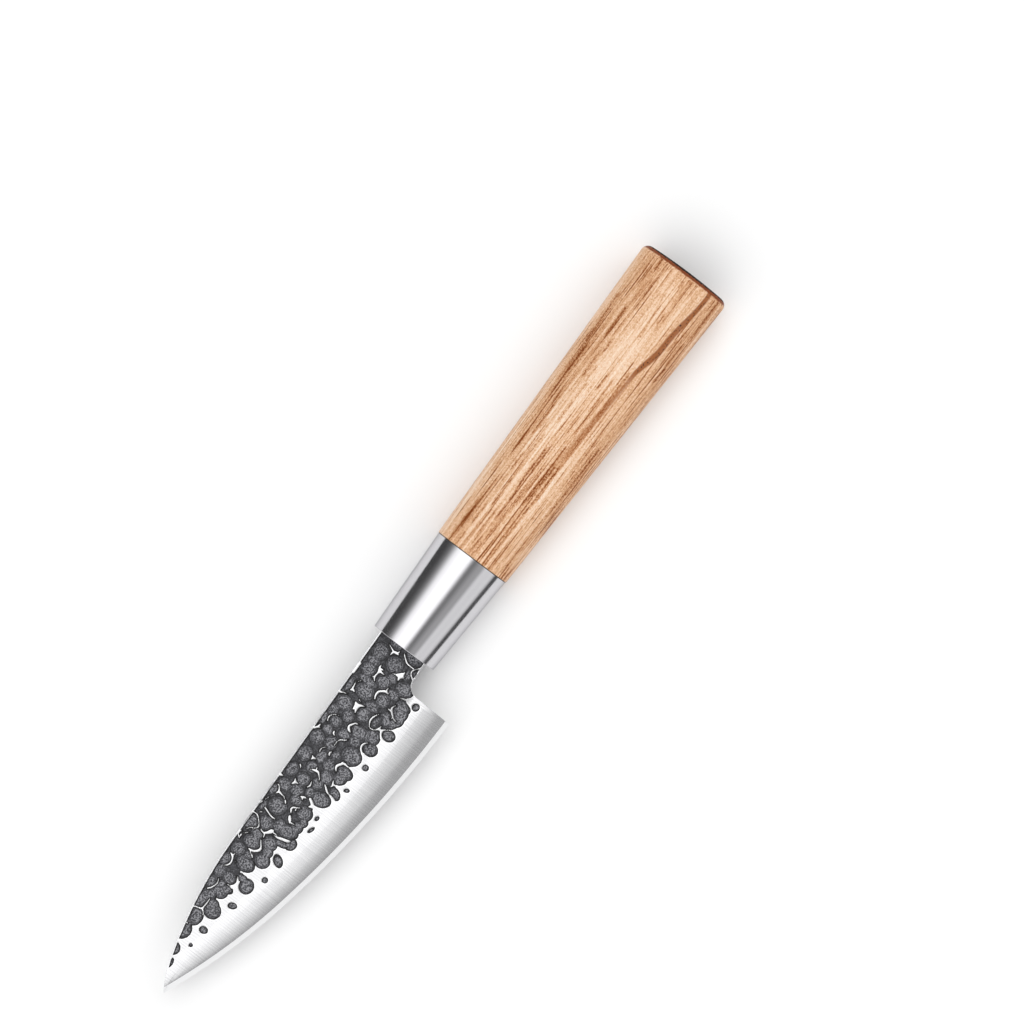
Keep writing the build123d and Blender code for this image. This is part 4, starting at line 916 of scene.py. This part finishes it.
    # The oil shines more on some fibres than on others, and the pores are slight furrows
    sheen = add(tree, "MapRange", {"Value": fibres, "To Min": 0.38, "To Max": 0.55}).outputs["Result"]
    roughness = add(tree, "Mix", {0: turn_shade_and_end_grain, 2: sheen, 3: 0.9}).outputs[0]
    relief = add(tree, "Math", {0: pores, 1: -0.4, 2: fibres}, operation="MULTIPLY_ADD").outputs[0]
    bump = add(tree, "Bump", {"Height": relief, "Strength": 0.15,
               "Distance": 0.06 * millimetre}).outputs["Normal"]
    shader = add(tree, "BsdfPrincipled", {"Base Color": seam_edge.outputs[2], "Roughness": roughness,
                 "Normal": bump, "Specular IOR Level": 0.2})
    tree.links.new(shader.outputs["BSDF"], output.inputs["Surface"])
    return material


handle = tube_mesh("wooden_handle", handle_rings, [
    ("wood_figure_and_sheen", figure_and_sheen),
    ("heart_streak", streak),
    ("butt_nearness", butt_nearness),
    ("seam_shade", seam_shade),
    ("pore_lines", pore_lines),
], sharp_degrees=40)
handle.data.materials.append(oiled_hardwood())
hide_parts("handle")
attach(handle, "root")

# Bond lines: dark glue between ferrule and wood, seen as a hairline at the seam, and the amber resin round
# the tang. Both cure hard and slightly glossy.


def cured_resin(name, hex_colour):
    """Hard resin, with trapped bubbles of a millimetre that cloud its colour."""
    material, tree, output = new_material(name)
    place = add(tree, "TexCoord").outputs["Object"]
    bubbles = add(tree, "TexNoise", {"Vector": place, "Scale": per_metre(1.11), "Detail": 2}).outputs["Fac"]
    ramp = add(tree, "ValToRGB", {"Fac": bubbles})
    ramp.color_ramp.elements[0].color = [0.5 * c for c in linear(hex_colour)[:3]] + [1.0]
    ramp.color_ramp.elements[1].color = linear(hex_colour)
    shader = add(tree, "BsdfPrincipled", {"Base Color": ramp.outputs["Color"], "Roughness": 0.4})
    tree.links.new(shader.outputs["BSDF"], output.inputs["Surface"])
    return material


for node_name, slot_name, label, hex_colour in [
    ("ferrule_adhesive", "glue_film", "cured_dark_epoxy_glue", "#2a1c14"),
    ("tang_epoxy", "bore_resin", "cast_amber_epoxy_resin", "#8a7350"),
]:
    cad_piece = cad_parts[node_name]
    cad_piece.data.materials.clear()
    cad_piece.data.materials.append(cured_resin(label, hex_colour))

# Stage: a plain pale floor and soft studio light. The light over the knife is a broad softbox, and dimmer
# panels toward the edge side fill the shade. The long stripes on the ferrule are their reflections.
floor_mesh = bpy.data.meshes.new("pale_floor")
floor_half = 3.0
corners = [(-1, -1), (1, -1), (1, 1), (-1, 1)]
floor_mesh.from_pydata([(x * floor_half, y * floor_half, 0) for x, y in corners], [], [(0, 1, 2, 3)])
floor = bpy.data.objects.new("pale_floor", floor_mesh)
bpy.context.scene.collection.objects.link(floor)
floor_paint, floor_tree, floor_output = new_material("matt_white_board")
floor_shader = add(floor_tree, "BsdfPrincipled", {"Base Color": linear("#f8f8f8"), "Roughness": 0.9})
floor_tree.links.new(floor_shader.outputs["BSDF"], floor_output.inputs["Surface"])
floor_mesh.materials.append(floor_paint)

# The light comes from all round, by its angle from straight up across the knife, positive toward the spine,
# in degrees: a white softbox overhead that fades toward the spine, dark beyond it, and on the edge side a
# grey gap, a paler panel and a dark line at the horizon. The two ends light the floor and the wood but show
# in no stripe. They darken toward the horizon, so that the ferrule looks like metal from there too.
studio = bpy.data.worlds.new("studio_surroundings")
bpy.context.scene.world = studio
studio.use_nodes = True
sky = studio.node_tree
sky.nodes.clear()
outward = add(sky, "TexCoord").outputs["Generated"]
direction = add(sky, "SeparateXYZ", {"Vector": outward}).outputs
angle = add(sky, "Math", {0: direction["Y"], 1: direction["Z"]}, operation="ARCTAN2").outputs[0]
half_turn_share = add(sky, "MapRange", {"Value": angle, "From Min": -math.pi / 2, "From Max": math.pi / 2})
stripes = add(sky, "ValToRGB", {"Fac": half_turn_share.outputs["Result"]})
brightest = 1.7
stripe_stops = [
    (-90, 0.09), (-76.5, 0.1), (-72.5, 0.72), (-65, 1.0), (-52, 0.93), (-42, 1.0), (-37, 0.77),
    (-34.5, 0.48), (-25, 0.49), (-18, 0.34), (-13, 0.22), (-9, 0.25), (-5, 0.64), (-1, 1.5), (3, 1.7),
    (26, 1.7), (30, 1.5), (36, 1.4), (42, 0.84), (49, 0.4), (57, 0.18), (68, 0.09), (90, 0.065),
]
for degrees, radiance in stripe_stops[1:-1]:
    stripes.color_ramp.elements.new((degrees + 90) / 180)
for stop, (degrees, radiance) in zip(stripes.color_ramp.elements, stripe_stops):
    stop.color = [radiance / brightest] * 3 + [1.0]
sideways = add(sky, "Math", {0: direction["X"]}, operation="ABSOLUTE").outputs[0]
toward_end = add(sky, "MapRange", {"Value": sideways, "From Min": 0.4, "From Max": 0.6}).outputs["Result"]
end_light = add(sky, "MapRange", {"Value": direction["Z"], "From Min": 0.1, "From Max": 0.5, "To Min": 0.25,
                "To Max": 1.0}).outputs["Result"]
surroundings = add(sky, "Mix", {0: toward_end, 6: stripes.outputs["Color"], 7: end_light}, data_type="RGBA")
glow = add(sky, "Background", {"Color": surroundings.outputs[2], "Strength": brightest})
sky_output = sky.nodes.new("ShaderNodeOutputWorld")
sky.links.new(glow.outputs["Background"], sky_output.inputs["Surface"])

bpy.context.scene.view_settings.view_transform = "Standard"

# Camera: square above the left face, turned so that the knife rises to the right as in the photograph. The
# picture's middle is in the knife's own axes.
photo_side = 1024
knife_tilt = math.radians(52.94)
view_middle = np.array([39.42, -1.02, 0.0])
camera_distance = 1.2
camera_data = bpy.data.cameras.new("photograph_view")
camera_data.sensor_width = 36.0
camera_data.lens = camera_data.sensor_width * camera_distance / (photo_side * photo_pixel * millimetre)
camera = bpy.data.objects.new("photograph_view", camera_data)
camera.location = knife_zero + view_middle * millimetre + np.array([0, 0, camera_distance])
camera.rotation_euler = (0, 0, -knife_tilt)
bpy.context.scene.collection.objects.link(camera)
bpy.context.scene.camera = camera
